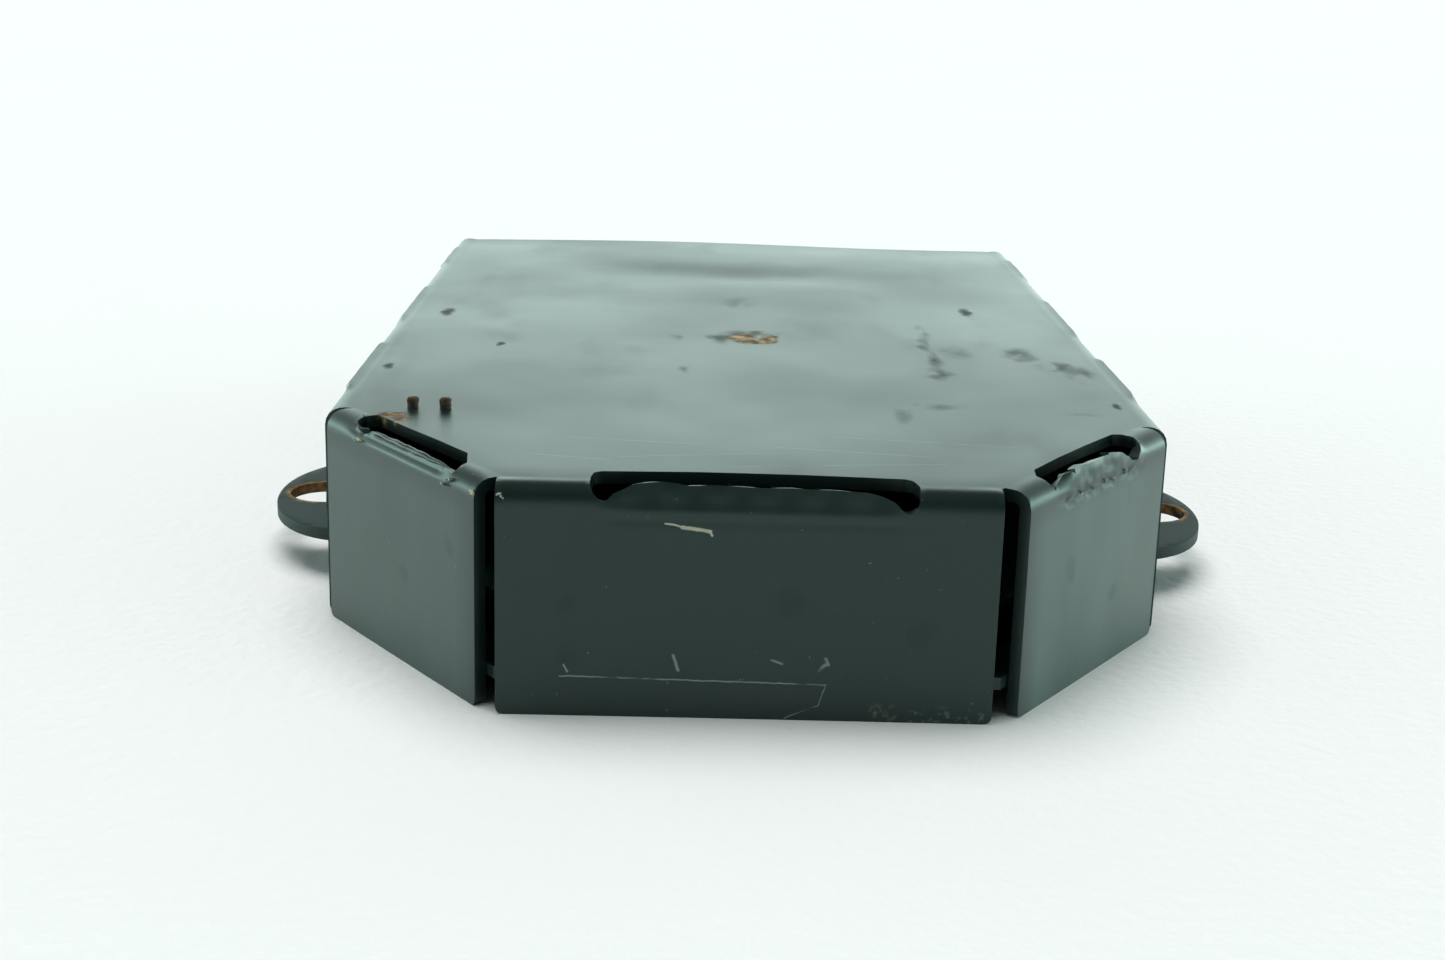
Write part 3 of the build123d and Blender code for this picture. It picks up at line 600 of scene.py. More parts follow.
# ---------------------------------------------------------------- torn paint and burrs
def ribbon(build, points, wide, thin, up, sides=8):
    """Tube of oval section through points (mm), tapered to nothing at both ends."""
    rings = []
    last = len(points) - 1
    for index, point in enumerate(points):
        ahead = (points[min(last, index + 1)] - points[max(0, index - 1)]).normalized()
        side = ahead.cross(up).normalized()
        top = side.cross(ahead)
        share = index / last
        taper = math.sqrt(max(0.04, math.sin(math.pi * share)))
        ring = []
        for step in range(sides):
            turn = 2 * math.pi * step / sides
            offset = side * (wide * taper * math.cos(turn)) + top * (thin * taper * math.sin(turn))
            ring.append(build.verts.new((point + offset) * MM))
        rings.append(ring)
    for here, there in zip(rings, rings[1:]):
        for step in range(sides):
            ahead = (step + 1) % sides
            build.faces.new((here[step], here[ahead], there[ahead], there[step]))
    build.faces.new(list(reversed(rings[0])))
    build.faces.new(rings[-1])


def finish_small(name, build):
    mesh = bpy.data.meshes.new(name)
    bmesh.ops.recalc_face_normals(build, faces=build.faces)
    build.to_mesh(mesh)
    build.free()
    made = new_object(name, mesh)
    smooth(made, 50)
    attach(made, "housing")
    return made


def on_fold(name, along, out, proud=0.0):
    """Point (mm) standing proud of a flange's outer face."""
    fold = next(fold for fold in FOLDS if fold.name == name)
    place = Vector(fold_cover(*fold.flat(along, out)))
    turn = float(np.interp(out, PROFILE[0], PROFILE[1]))
    return place + (fold.out * math.sin(turn)).to_3d() * proud + Vector((0, 0, math.cos(turn) * proud))


def make_burr():
    """Rolled burr along the lip of the left chamfer slot, tapered at both ends."""
    build = bmesh.new()
    points = []
    for step in range(40):
        share = step / 39
        along = 12.6 + 26.4 * share
        wander = 0.12 * math.sin(step * 0.9) + 0.07 * math.sin(step * 2.1)
        proud = 0.22 + 0.05 * math.sin(step * 0.6)
        points.append(on_fold("left_chamfer", along, 3.65 + 0.5 * wander, proud))
    ribbon(build, points, 0.5, 0.5, Vector((-0.4, -0.3, 0.85)), 10)
    return finish_small("left_slot_burr", build)


def scatter_flakes(name, spots):
    """Curled slivers of torn powder coat: (flange, along, out, count, spread, length)."""
    build = bmesh.new()
    for flange, along, out, count, spread, length in spots:
        for _ in range(count):
            foot = on_fold(flange, along + random.uniform(-spread, spread),
                           out + random.uniform(-spread, spread) * 0.6, -0.05)
            normal = (on_fold(flange, along, out, 1) - on_fold(flange, along, out)).normalized()
            lean = Vector((random.uniform(-1, 1), random.uniform(-1, 1), random.uniform(-0.2, 1))) * 0.6
            lean -= normal * lean.dot(normal)
            run = length * random.uniform(0.6, 1.2)
            points = []
            for step in range(7):
                share = step / 6
                points.append(foot + lean * (run * share) + normal * (run * 0.55 * math.sin(share * 2.4)))
            ribbon(build, points, 0.2 * length ** 0.5, 0.07, normal, 6)
    return finish_small(name, build)


TORN = [("right_chamfer", 20.8, 7.2, 2, 0.3, 1.3), ("right_chamfer", 25.2, 7.3, 3, 0.5, 1.4),
        ("right_chamfer", 29.8, 7.1, 3, 0.5, 1.2), ("right_chamfer", 32.2, 7.6, 2, 0.3, 1.4),
        ("right_chamfer", 37.6, 7.2, 3, 0.8, 1.0), ("right_chamfer", 16.5, 7.6, 1, 0.3, 0.8),
        ("left_chamfer", 12.2, 6.0, 5, 0.8, 1.3), ("left_chamfer", 10.9, 5.2, 4, 0.6, 1.2),
        ("left_chamfer", 43.2, 6.2, 3, 0.5, 0.9), ("back", -37.6, 5.6, 2, 0.4, 0.7)]
CREAM = [("left_chamfer", 41.4, 6.0, 4, 0.5, 1.1), ("left_chamfer", 4.0, 5.6, 5, 0.6, 1.0),
         ("left_chamfer", 12.9, 6.8, 2, 0.5, 0.8), ("left_chamfer", 47.6, 0.4, 3, 0.6, 0.9)]


# ---------------------------------------------------------------- materials
class Shader:
    """Small helper round a material's node tree."""

    def __init__(self, name):
        self.material = bpy.data.materials.new(name)
        self.material.use_nodes = True
        self.tree = self.material.node_tree
        self.surface = self.tree.nodes["Principled BSDF"]
        self.place = self.node("ShaderNodeTexCoord").outputs["Object"]

    def node(self, kind, **settings):
        made = self.tree.nodes.new(kind)
        for key, value in settings.items():
            setattr(made, key, value)
        return made

    def feed(self, socket, value):
        if isinstance(value, bpy.types.NodeSocket):
            self.tree.links.new(value, socket)
        else:
            socket.default_value = value

    def math(self, operation, first, second=0.0, third=0.0):
        made = self.node("ShaderNodeMath", operation=operation)
        for socket, value in zip(made.inputs, (first, second, third)):
            self.feed(socket, value)
        return made.outputs[0]

    def vector(self, operation, first, second=(0, 0, 0)):
        made = self.node("ShaderNodeVectorMath", operation=operation)
        self.feed(made.inputs[0], first)
        self.feed(made.inputs[1], second)
        single = operation in ("LENGTH", "DISTANCE", "DOT_PRODUCT")
        return made.outputs["Value" if single else "Vector"]

    def noise(self, scale, detail=3.0, stretch=(1, 1, 1)):
        place = self.vector("MULTIPLY", self.place, stretch)
        made = self.node("ShaderNodeTexNoise")
        self.feed(made.inputs["Vector"], place)
        made.inputs["Scale"].default_value = scale
        made.inputs["Detail"].default_value = detail
        return made.outputs["Fac"]

    def ramp(self, value, low, high, start=0.0, end=1.0):
        made = self.node("ShaderNodeMapRange", clamp=True)
        for socket, number in zip(made.inputs, (value, low, high, start, end)):
            self.feed(socket, number)
        return made.outputs[0]

    def mix(self, share, first, second):
        made = self.node("ShaderNodeMix", data_type="RGBA")
        self.feed(made.inputs["Factor"], share)
        self.feed(made.inputs["A"], first if isinstance(first, bpy.types.NodeSocket) else (*first, 1))
        self.feed(made.inputs["B"], second if isinstance(second, bpy.types.NodeSocket) else (*second, 1))
        return made.outputs["Result"]

    def bump(self, height, strength, distance):
        made = self.node("ShaderNodeBump")
        made.inputs["Strength"].default_value = strength
        made.inputs["Distance"].default_value = distance
        self.feed(made.inputs["Height"], height)
        self.tree.links.new(made.outputs["Normal"], self.surface.inputs["Normal"])

    def shaken(self, amount, scale):
        """The place on the object, shaken by noise so that marks get ragged edges."""
        wobble = self.node("ShaderNodeTexNoise")
        self.feed(wobble.inputs["Vector"], self.place)
        wobble.inputs["Scale"].default_value = scale
        wobble.inputs["Detail"].default_value = 4
        shake = self.vector("SUBTRACT", wobble.outputs["Color"], (0.5, 0.5, 0.5))
        return self.vector("ADD", self.place, self.vector("MULTIPLY", shake, (2 * amount * MM,) * 3))

    def streak(self, place, start, end, width, soft=0.3):
        """Mask of a mark that runs between two points (mm)."""
        head = Vector(start) * MM
        span = Vector(end) * MM - head
        offset = self.vector("SUBTRACT", place, tuple(head))
        share = self.vector("DOT_PRODUCT", offset, tuple(span))
        share = self.math("DIVIDE", share, max(span.length_squared, 1e-12))
        share = self.math("MINIMUM", self.math("MAXIMUM", share, 0.0), 1.0)
        along = self.node("ShaderNodeVectorMath", operation="SCALE")
        along.inputs[0].default_value = span
        self.feed(along.inputs["Scale"], share)
        distance = self.vector("LENGTH", self.vector("SUBTRACT", offset, along.outputs["Vector"]))
        return self.ramp(distance, width * MM * 0.5 * (1 - soft), width * MM * 0.5 * (1 + soft), 1.0, 0.0)

    def blob(self, place, centre, half, soft=0.3):
        """Mask of an ellipsoid given by its middle and half sizes (mm)."""
        offset = self.vector("SUBTRACT", place, tuple(c * MM for c in centre))
        scaled = self.vector("DIVIDE", offset, tuple(h * MM for h in half))
        return self.ramp(self.vector("LENGTH", scaled), 1 - soft, 1 + soft, 1.0, 0.0)

    def gather(self, masks):
        total = masks[0]
        for mask in masks[1:]:
            total = self.math("MAXIMUM", total, mask)
        return total


# Marks in millimetres: (start, end, width) of streaks, (middle, half sizes) of blots. FACE marks count at
# any depth and ROOF marks at any height. Many places come from a scratch program that turned points picked
# on the photograph into millimetres; those of SPOTS and of the last two of FAINT are its figures unchanged.
BARE = [((-45.4, -110.2, 36.6), (-44.4, -112.4, 35.6), 0.7),
        ((-40.3, -118.6, 36.2), (-38.9, -118.9, 36.8), 0.45),
        ((-38.6, -121.4, 35.2), (-37.4, -121.6, 35.4), 0.35)]
FACE_BARE = [((-13.2, 0, 31.3), (-10.2, 0, 30.8), 0.28), ((-10.6, 0, 30.8), (-6.4, 0, 30.2), 0.55),
             ((-6.5, 0, 30.3), (-6.1, 0, 29.6), 0.35)]
FACE_HAIR = [((-29, 0, 6.5), (12, 0, 5.9), 0.2), ((12, 0, 5.9), (11, 0, 2.6), 0.14),
             ((11, 0, 2.6), (5.8, 0, 0.3), 0.14), ((-11.6, 0, 10.2), (-10.8, 0, 7.8), 0.4),
             ((10.8, 0, 8.2), (12.1, 0, 9.4), 0.5), ((11.9, 0, 10.2), (12.3, 0, 9.2), 0.45),
             ((3.5, 0, 9.8), (5.2, 0, 9.2), 0.3), ((-28.4, 0, 8.3), (-27.8, 0, 7.2), 0.3)]
ROOF_HAIR = [((-21, -104, 0), (8, -99, 0), 0.1), ((-4, -109, 0), (31, -104, 0), 0.1),
             ((4, -96, 0), (30, -100, 0), 0.1), ((-30, -92, 0), (-8, -95, 0), 0.1),
             ((14, -88, 0), (44, -92, 0), 0.1), ((-36, -103, 0), (-22, -106, 0), 0.12)]
RUST = [((2.6, -9.6, 37), (3.8, 2.6, 2)), ((0.2, -6.2, 37), (2.6, 3.4, 2)), ((5.8, -6.8, 37), (1.5, 4.2, 2)),
        ((-60.6, -80.0, 36.9), (2.3, 1.7, 2)), ((-58.6, -83.0, 36.9), (1.2, 1.6, 2))]
GRIME = [((-4.2, -7.8, 37), (2.2, 3.6, 2)), ((1.8, -1.5, 37), (4.6, 2.0, 2)), ((38.6, 5, 37), (1.0, 5, 2)),
         ((37.4, -8, 37), (0.9, 7, 2)), ((38, -24, 37), (0.9, 6, 2)), ((37.6, -37, 37), (1.9, 4.5, 2)),
         ((55.6, -17, 37), (2.6, 5, 2)), ((61.5, -28, 37), (2.6, 3.5, 2)), ((64.9, -35, 37), (2.0, 6, 2))]
FAINT = [((44, -16, 37), (2.4, 4, 2)), ((27.4, -70, 37), (1.2, 5, 2)), ((32.6, -64, 37), (4.2, 1.8, 2)),
         ((58, -68, 37), (2.8, 1.0, 2)), ((0.5, 32, 37), (2.4, 4.5, 2)), ((-13.3, -7.8, 37), (0.8, 2.2, 2)),
         ((-11.2, -38.3, 37), (0.8, 2, 2))]
SPOTS = [((-62.7, 14.1, 37), (1.0, 3.4, 2)), ((50.7, 29.7, 37), (1.0, 3.4, 2)),
         ((-67, -41.4, 36.8), (0.7, 2.0, 2)), ((-48.1, -18.8, 37), (0.6, 1.6, 2)),
         ((66.7, -60.5, 36.9), (0.7, 1.8, 2))]
DULL = [((-28.2, -122, 18.4), (1.5, 2, 1.9)), ((-27.8, -122, 9.4), (1.9, 2, 1.9)),
        ((6.4, -122, 19.3), (2.4, 2, 1.8)), ((26, -122, 14.4), (2.2, 2, 1.7)),
        ((-46.5, -113.2, 24), (2, 1.6, 1.9)), ((-55.5, -100, 15), (1.6, 2, 2)),
        ((52, -105.8, 21), (1.5, 2, 2.4)), ((62, -92, 12), (1.4, 2, 1.7))]


def paint(name, marks=True):
    """Satin black powder coat with uneven gloss, scuffs, grime, scratches, chips and rust, and a painted sheen
    on the chamfered flanges.
    """
    coat = Shader(name)
    broad = coat.noise(22, 4)
    peel = coat.noise(520, 2)
    scuff = coat.ramp(coat.noise(70, 9, (1, 0.4, 1)), 0.58, 0.74)
    pinprick = coat.ramp(coat.noise(1300, 1), 0.785, 0.81)
    colour = coat.mix(broad, (0.003, 0.0095, 0.0085), (0.006, 0.0125, 0.0115))
    colour = coat.mix(coat.math("MULTIPLY", scuff, 0.12), colour, (0.03, 0.035, 0.033))
    rough = coat.ramp(broad, 0.3, 0.7, 0.34, 0.41)
    rough = coat.math("ADD", rough, coat.math("MULTIPLY", scuff, 0.03))
    height = coat.math("MULTIPLY", peel, 0.5)
    if marks:
        fine = coat.shaken(0.35, 1100)
        ragged = coat.shaken(1.2, 420)
        loose = coat.shaken(2.6, 170)
        face = coat.vector("MULTIPLY", coat.shaken(0.16, 900), (1, 0, 1))
        above = coat.vector("MULTIPLY", coat.shaken(0.1, 260), (1, 1, 0))
        bare = [coat.streak(fine, *mark) for mark in BARE]
        bare = coat.gather(bare + [coat.streak(face, *mark) for mark in FACE_BARE])
        hair = coat.gather([coat.streak(face, *mark, 0.6) for mark in FACE_HAIR])
        hair = coat.math("MAXIMUM", hair, coat.gather([coat.streak(above, *mark, 0.6) for mark in ROOF_HAIR]))
        hair = coat.math("MULTIPLY", hair, coat.ramp(coat.noise(260, 3), 0.3, 0.5))
        edge = coat.streak(fine, (38.35, -122, 34), (38.35, -122, 0.4), 0.75, 0.3)
        foot = coat.streak(fine, (20, -122, 1.2), (37.5, -122, 0.7), 2.4, 0.9)
        edge = coat.math("MAXIMUM", edge, coat.math("MULTIPLY", foot, 0.3))
        edge = coat.math("MULTIPLY", edge, coat.ramp(coat.noise(800, 3), 0.56, 0.66))
        rust = coat.gather([coat.blob(ragged, *mark) for mark in RUST])
        grime = coat.gather([coat.blob(loose, *mark, 0.7) for mark in GRIME])
        split = coat.node("ShaderNodeSeparateXYZ")
        coat.feed(split.inputs[0], coat.place)
        # painted sheen: the chamfered flanges are made lighter in place of the bright side light they catch,
        # fully on the right, half as much on the left, fading out towards the top bend and streaked by noise
        out = coat.ramp(coat.math("ABSOLUTE", split.outputs["X"]), 0.0415, 0.046)
        chamfer_sheen = coat.math("MULTIPLY", out, coat.ramp(split.outputs["Y"], -0.0785, -0.0765, 1.0, 0.0))
        chamfer_sheen = coat.math("MULTIPLY", chamfer_sheen, coat.ramp(split.outputs["Z"], 0.03, 0.0355, 1.0, 0.0))
        chamfer_sheen = coat.math("MULTIPLY", chamfer_sheen, coat.ramp(split.outputs["X"], -0.01, 0.01, 0.5, 1.0))
        chamfer_sheen = coat.math("MULTIPLY", chamfer_sheen, coat.ramp(coat.noise(90, 6, (1, 1, 0.35)), 0.3, 0.7, 0.7, 1.0))
        colour = coat.mix(chamfer_sheen, colour, (0.07, 0.103, 0.094))
        spots = coat.gather([coat.blob(ragged, *mark, 0.6) for mark in SPOTS])
        faint = coat.gather([coat.blob(loose, *mark, 0.8) for mark in FAINT])
        dull = coat.gather([coat.blob(loose, *mark, 0.35) for mark in DULL])
        tone = coat.mix(coat.noise(900, 4), (0.46, 0.4, 0.3), (0.3, 0.29, 0.24))
        rusty = coat.ramp(coat.noise(420, 5), 0.38, 0.62)
        rusty = coat.mix(rusty, (0.10, 0.045, 0.016), (0.42, 0.3, 0.15))
        colour = coat.mix(coat.math("MULTIPLY", hair, 0.5), colour, (0.3, 0.34, 0.32))
        colour = coat.mix(coat.math("MULTIPLY", edge, 0.7), colour, (0.3, 0.32, 0.3))
        colour = coat.mix(coat.math("MULTIPLY", pinprick, 0.4), colour, (0.2, 0.22, 0.21))
        colour = coat.mix(coat.math("MULTIPLY", rust, coat.ramp(coat.noise(600, 3), 0.3, 0.5)), colour, rusty)
        colour = coat.mix(bare, colour, tone)
        worn = coat.math("MAXIMUM", bare, rust)
        dirt = coat.math("MAXIMUM", coat.math("MULTIPLY", grime, 0.5), coat.math("MULTIPLY", faint, 0.25))
        dirt = coat.math("MULTIPLY", dirt, coat.ramp(coat.noise(220, 5, (1, 0.4, 1)), 0.4, 0.6))
        dirt = coat.math("MAXIMUM", dirt, coat.math("MULTIPLY", spots, 0.75))
        colour = coat.mix(dirt, colour, (0.022, 0.022, 0.019))
        rough = coat.math("ADD", rough, coat.math("MULTIPLY", worn, 0.4))
        rough = coat.math("ADD", rough, coat.math("MULTIPLY", dirt, 0.42))
        rough = coat.math("ADD", rough, coat.math("MULTIPLY", dull, 0.14))
        height = coat.math("SUBTRACT", height, coat.math("MULTIPLY", worn, 1.2))
        height = coat.math("SUBTRACT", height, coat.math("MULTIPLY", hair, 0.8))
    coat.feed(coat.surface.inputs["Base Color"], colour)
    coat.feed(coat.surface.inputs["Roughness"], rough)
    coat.surface.inputs["IOR"].default_value = COAT_IOR
    coat.surface.inputs["Specular Tint"].default_value = COAT_TINT
    coat.bump(height, 0.1, 0.0002)
    return coat.material


def rust_paint(name):
    """Black paint that has rusted round the bolt holes."""
    coat = Shader(name)
    low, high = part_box("mounting_strap")
    place = coat.shaken(0.7, 500)
    rings = []
    for hand in (1, -1):
        distance = coat.vector("DISTANCE", place, (hand * EAR_HOLE_X * MM, (low[1] + high[1]) / 2, high[2]))
        rings.append(coat.ramp(distance, 0.0074, 0.0082, 1.0, 0.0))
    patch = coat.math("MULTIPLY", coat.gather(rings), coat.ramp(coat.noise(330, 4), 0.36, 0.52))
    rusty = coat.mix(coat.ramp(coat.noise(800, 5), 0.35, 0.65), (0.16, 0.07, 0.025), (0.34, 0.2, 0.08))
    colour = coat.mix(coat.noise(40, 3), (0.003, 0.008, 0.0072), (0.005, 0.0105, 0.0095))
    coat.feed(coat.surface.inputs["Base Color"], coat.mix(patch, colour, rusty))
    coat.feed(coat.surface.inputs["Roughness"], coat.math("ADD", 0.66, coat.math("MULTIPLY", patch, 0.2)))
    coat.surface.inputs["IOR"].default_value = COAT_IOR
    coat.surface.inputs["Specular Tint"].default_value = COAT_TINT
    coat.bump(coat.math("ADD", coat.math("MULTIPLY", coat.noise(500, 3), 0.5), patch), 0.1, 0.0002)
    return coat.material


def plain(name, colour, second, metal, rough, scale, relief, stretch=(1, 1, 1), **extra):
    """General finish: two tones mixed by noise, uneven gloss and fine relief."""
    coat = Shader(name)
    grain = coat.noise(scale, 5, stretch)
    coat.feed(coat.surface.inputs["Base Color"], coat.mix(coat.ramp(grain, 0.3, 0.7), colour, second))
    coat.surface.inputs["Metallic"].default_value = metal
    gloss = coat.ramp(coat.noise(scale * 0.4, 4), 0.3, 0.7, rough * 0.85, rough * 1.15)
    coat.feed(coat.surface.inputs["Roughness"], gloss)
    for socket, value in extra.items():
        coat.surface.inputs[socket.replace("_", " ")].default_value = value
    coat.bump(grain, relief, 0.0001)
    return coat.material


def board(name):
    """Green circuit board with copper tracks under the mask."""
    coat = Shader(name)
    tracks = coat.node("ShaderNodeTexBrick")
    coat.feed(tracks.inputs["Vector"], coat.place)
    tracks.inputs["Scale"].default_value = 160
    tracks.inputs["Mortar Size"].default_value = 0.06
    lines = tracks.outputs["Fac"]
    tone = coat.mix(coat.noise(30, 3), (0.0015, 0.009, 0.005), (0.002, 0.012, 0.007))
    coat.feed(coat.surface.inputs["Base Color"], coat.mix(lines, tone, (0.012, 0.055, 0.03)))
    coat.surface.inputs["Roughness"].default_value = 0.35
    coat.bump(lines, 0.3, 0.00005)
    return coat.material


# slot: (one tone, other tone, metallic, roughness, scale of the grain, relief and, for some, stretch)
FINISHES = {
    "zinc_steel": ((0.42, 0.43, 0.42), (0.6, 0.6, 0.58), 1, 0.34, 700, 0.1),
    "rusty_steel": ((0.008, 0.006, 0.005), (0.11, 0.05, 0.02), 0, 0.75, 1100, 0.6),
    "brass_posts": ((0.6, 0.44, 0.2), (0.75, 0.6, 0.32), 1, 0.3, 500, 0.1),
    "black_plastic": ((0.012, 0.012, 0.013), (0.02, 0.02, 0.021), 0, 0.45, 1400, 0.35),
    "window_tint": ((0.012, 0.001, 0.003), (0.016, 0.002, 0.004), 0, 0.08, 40, 0.01),
    "gasket_rubber": ((0.01, 0.01, 0.01), (0.018, 0.018, 0.018), 0, 0.8, 1200, 0.4),
    "gold_contact": ((0.8, 0.55, 0.2), (0.9, 0.65, 0.28), 1, 0.22, 600, 0.05),
    "cast_aluminium": ((0.5, 0.51, 0.52), (0.66, 0.67, 0.68), 1, 0.42, 1500, 0.35),
    "core_steel": ((0.4, 0.4, 0.41), (0.56, 0.56, 0.57), 1, 0.26, 500, 0.1, (1, 1, 9)),
    "copper_wire": ((0.42, 0.12, 0.04), (0.7, 0.25, 0.09), 1, 0.3, 900, 0.6, (1, 1, 6)),
    "cage_plastic": ((0.3, 0.2, 0.1), (0.4, 0.28, 0.14), 0, 0.5, 900, 0.2),
    "magnet": ((0.05, 0.05, 0.055), (0.08, 0.08, 0.085), 0.6, 0.5, 900, 0.3),
    "disc_metal": ((0.3, 0.3, 0.32), (0.45, 0.45, 0.47), 1, 0.25, 300, 0.08, (1, 8, 1)),
    "mirror_coat": ((0.9, 0.82, 0.62), (0.92, 0.85, 0.68), 1, 0.04, 60, 0.01),
    "black_anodised": ((0.012, 0.012, 0.014), (0.02, 0.02, 0.023), 0.7, 0.5, 1500, 0.2),
    "lens_glass": ((0.85, 0.9, 1.0), (0.9, 0.93, 1.0), 0, 0.03, 50, 0.01),
    "filter_glass": ((0.25, 0.02, 0.08), (0.3, 0.03, 0.1), 0, 0.05, 50, 0.01),
    "can_metal": ((0.55, 0.5, 0.4), (0.65, 0.6, 0.5), 1, 0.25, 500, 0.08),
    "chip_epoxy": ((0.016, 0.016, 0.017), (0.028, 0.028, 0.029), 0, 0.6, 1600, 0.3),
    "thermal_silicone": ((0.3, 0.36, 0.46), (0.36, 0.42, 0.52), 0, 0.8, 900, 0.3),
    "capacitor_sleeve": ((0.5, 0.5, 0.52), (0.62, 0.62, 0.64), 1, 0.3, 500, 0.1),
    "connector_plastic": ((0.62, 0.57, 0.45), (0.7, 0.65, 0.52), 0, 0.45, 900, 0.15),
    "ribbon_film": ((0.45, 0.2, 0.04), (0.55, 0.27, 0.06), 0, 0.25, 400, 0.1, (9, 1, 1)),
}
EXTRAS = {"window_tint": {"Coat_Weight": 0.6},
          "lens_glass": {"Transmission_Weight": 0.9},
          "filter_glass": {"Transmission_Weight": 0.5}}


def materials():
    """One finish for each of the record's material slots."""
    made = {"case_paint": paint("case_paint_inner", False), "green_board": board("green_board_finish")}
    for slot, values in FINISHES.items():
        made[slot] = plain(slot + "_finish", *values, **EXTRAS.get(slot, {}))
    return made


def dress(made, material):
    made.data.materials.clear()
    made.data.materials.append(material)


# ---------------------------------------------------------------- stage, light and camera
def make_floor():
    build = bmesh.new()
    bmesh.ops.create_grid(build, x_segments=2, y_segments=2, size=9)
    mesh = bpy.data.meshes.new("floor")
    build.to_mesh(mesh)
    build.free()
    floor = new_object("floor", mesh)
    cloth = Shader("floor_cloth")
    tone = cloth.mix(cloth.noise(9, 3), (0.92, 0.925, 0.93), (0.945, 0.95, 0.955))
    cloth.feed(cloth.surface.inputs["Base Color"], tone)
    cloth.surface.inputs["Roughness"].default_value = 0.9
    cloth.surface.inputs["Specular IOR Level"].default_value = 0.1
    cloth.bump(cloth.noise(380, 6), 0.3, 0.0008)
    floor.data.materials.append(cloth.material)


def make_light():
    """Pale studio: bright low at the sides and ahead, dim overhead and behind, with one soft key light."""
    world = bpy.data.worlds.new("studio")
    bpy.context.scene.world = world
    world.use_nodes = True
    tree = world.node_tree
    sky = tree.nodes["Background"]
    split = tree.nodes.new("ShaderNodeSeparateXYZ")
    tree.links.new(tree.nodes.new("ShaderNodeTexCoord").outputs["Generated"], split.inputs[0])

    def ramp(value, low, high, start, end):
        made = tree.nodes.new("ShaderNodeMapRange")
        made.interpolation_type = "SMOOTHSTEP"
        for socket, number in zip(made.inputs[1:5], (low, high, start, end)):
            socket.default_value = number
        tree.links.new(value, made.inputs[0])
        return made.outputs[0]

    def combine(operation, first, second):
        made = tree.nodes.new("ShaderNodeMath")
        made.operation = operation
        tree.links.new(first, made.inputs[0])
        tree.links.new(second, made.inputs[1])
        return made.outputs[0]

    right_glow = ramp(split.outputs["X"], 0.4, 0.85, 0.0, 6.5)
    left_glow = ramp(split.outputs["X"], -0.85, -0.4, 5.5, 0.0)
    sides = combine("ADD", right_glow, left_glow)
    sides = combine("MULTIPLY", sides, ramp(split.outputs["Z"], 0.0, 0.32, 1.0, 0.0))
    ahead = ramp(split.outputs["Y"], 0.35, 0.8, 0.0, 2.2)
    low = ramp(split.outputs["Z"], 0.17, 0.52, 1.0, 0.0)
    extra = combine("ADD", sides, combine("MULTIPLY", ahead, low))
    behind = ramp(split.outputs["Y"], -0.8, -0.2, 0.3, 1.0)
    level = combine("ADD", extra, combine("MULTIPLY", behind, ramp(split.outputs["Z"], 0.1, 0.45, 0.95, 0.2)))
    tint = tree.nodes.new("ShaderNodeMix")
    tint.data_type = "RGBA"
    tint.inputs["A"].default_value = (0.8, 1.0, 0.945, 1)
    tint.inputs["B"].default_value = (0.7, 1.0, 0.92, 1)
    tree.links.new(ramp(sides, 0, 5, 0.0, 1.0), tint.inputs["Factor"])
    tree.links.new(tint.outputs["Result"], sky.inputs["Color"])
    tree.links.new(level, sky.inputs["Strength"])
    lamp = bpy.data.lights.new("key", "SUN")
    lamp.energy = 2.25
    lamp.angle = math.radians(50)
    lamp.color = (1, 0.98, 0.975)
    key = bpy.data.objects.new("key", lamp)
    # not mirrored by the paint, so that it leaves no hard streak along the bends
    key.visible_glossy = False
    key.rotation_euler = Vector((0.1, -0.2, -1)).to_track_quat("-Z", "Y").to_euler()
    bpy.context.scene.collection.objects.link(key)


CAMERA_PLACE = (-0.00928, -0.41143, 0.11822)
CAMERA_PITCH = math.radians(15.418)
CAMERA_YAW = math.radians(0.891)
CAMERA_ROLL = math.radians(-1.62)


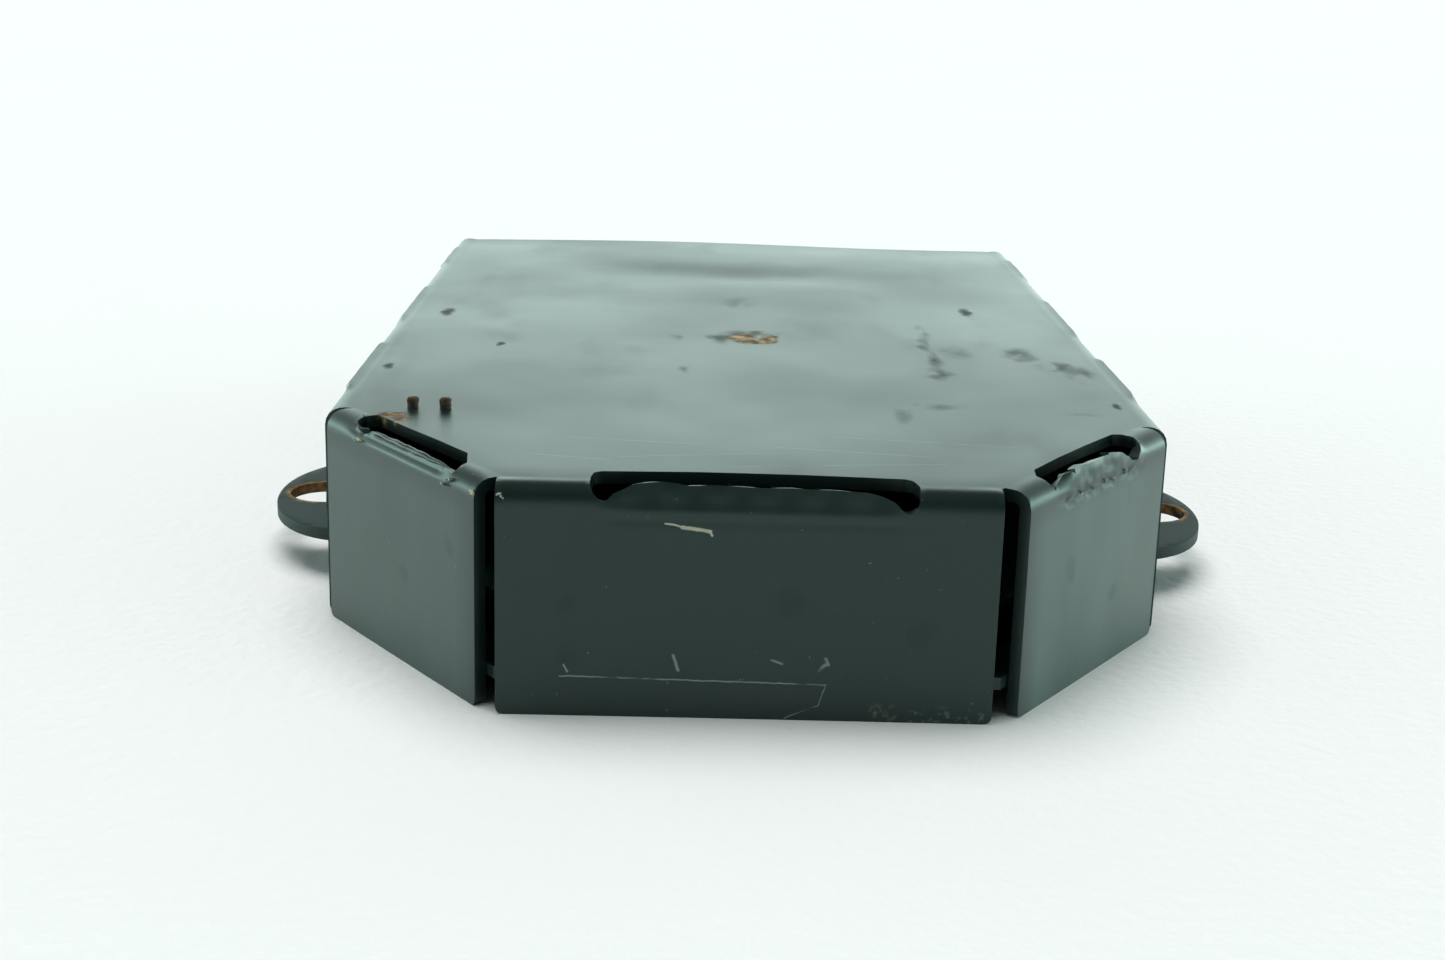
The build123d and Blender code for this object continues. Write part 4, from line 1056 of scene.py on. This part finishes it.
def make_camera():
    """50 mm lens, looking along the case from just above its chamfered end."""
    forward = Vector((math.sin(CAMERA_YAW) * math.cos(CAMERA_PITCH),
                      math.cos(CAMERA_YAW) * math.cos(CAMERA_PITCH), -math.sin(CAMERA_PITCH)))
    level = Vector((math.cos(CAMERA_YAW), -math.sin(CAMERA_YAW), 0))
    down = forward.cross(level)
    right = level * math.cos(CAMERA_ROLL) + down * math.sin(CAMERA_ROLL)
    up = level * math.sin(CAMERA_ROLL) - down * math.cos(CAMERA_ROLL)
    lens = bpy.data.cameras.new("camera")
    lens.lens = 50
    lens.sensor_width = 36
    lens.clip_start = 0.01
    camera = bpy.data.objects.new("camera", lens)
    facing = Matrix((right, up, -forward)).transposed().to_4x4()
    camera.matrix_world = Matrix.Translation(CAMERA_PLACE) @ facing
    bpy.context.scene.collection.objects.link(camera)
    bpy.context.scene.camera = camera


# ---------------------------------------------------------------- build
bpy.context.scene.view_settings.view_transform = "Standard"
make_camera()
make_light()
make_floor()

finishes = materials()
slots = {part["node"]: part["material_slot"] for part in frame["record"]["subparts"]}
for node, made in frame["nodes"].items():
    dress(made, finishes[slots[node]])

for node in ("rear_bezel", "connector_shell", "connector_nut", "case_screws", "bezel_screws", "window_pane",
             "window_retainer", "base_plate", "breather_vent"):
    soft = frame["nodes"][node].modifiers.new("soft", "BEVEL")
    soft.width = 0.2 * MM
    soft.segments = 2
    soft.limit_method = "ANGLE"
    soft.angle_limit = math.radians(50)

dress(make_cover(), paint("case_paint_worn"))
dress(make_strap(), rust_paint("strap_paint_worn"))
dress(make_studs(), finishes["rusty_steel"])
dress(make_burr(), paint("burr_paint", False))
torn_coat = plain("torn_paint_finish", (0.12, 0.14, 0.13), (0.3, 0.33, 0.31), 0, 0.45, 700, 0.2)
primer = plain("torn_primer_finish", (0.42, 0.36, 0.22), (0.6, 0.54, 0.4), 0, 0.6, 700, 0.2)
dress(scatter_flakes("torn_paint", TORN), torn_coat)
dress(scatter_flakes("torn_primer", CREAM), primer)
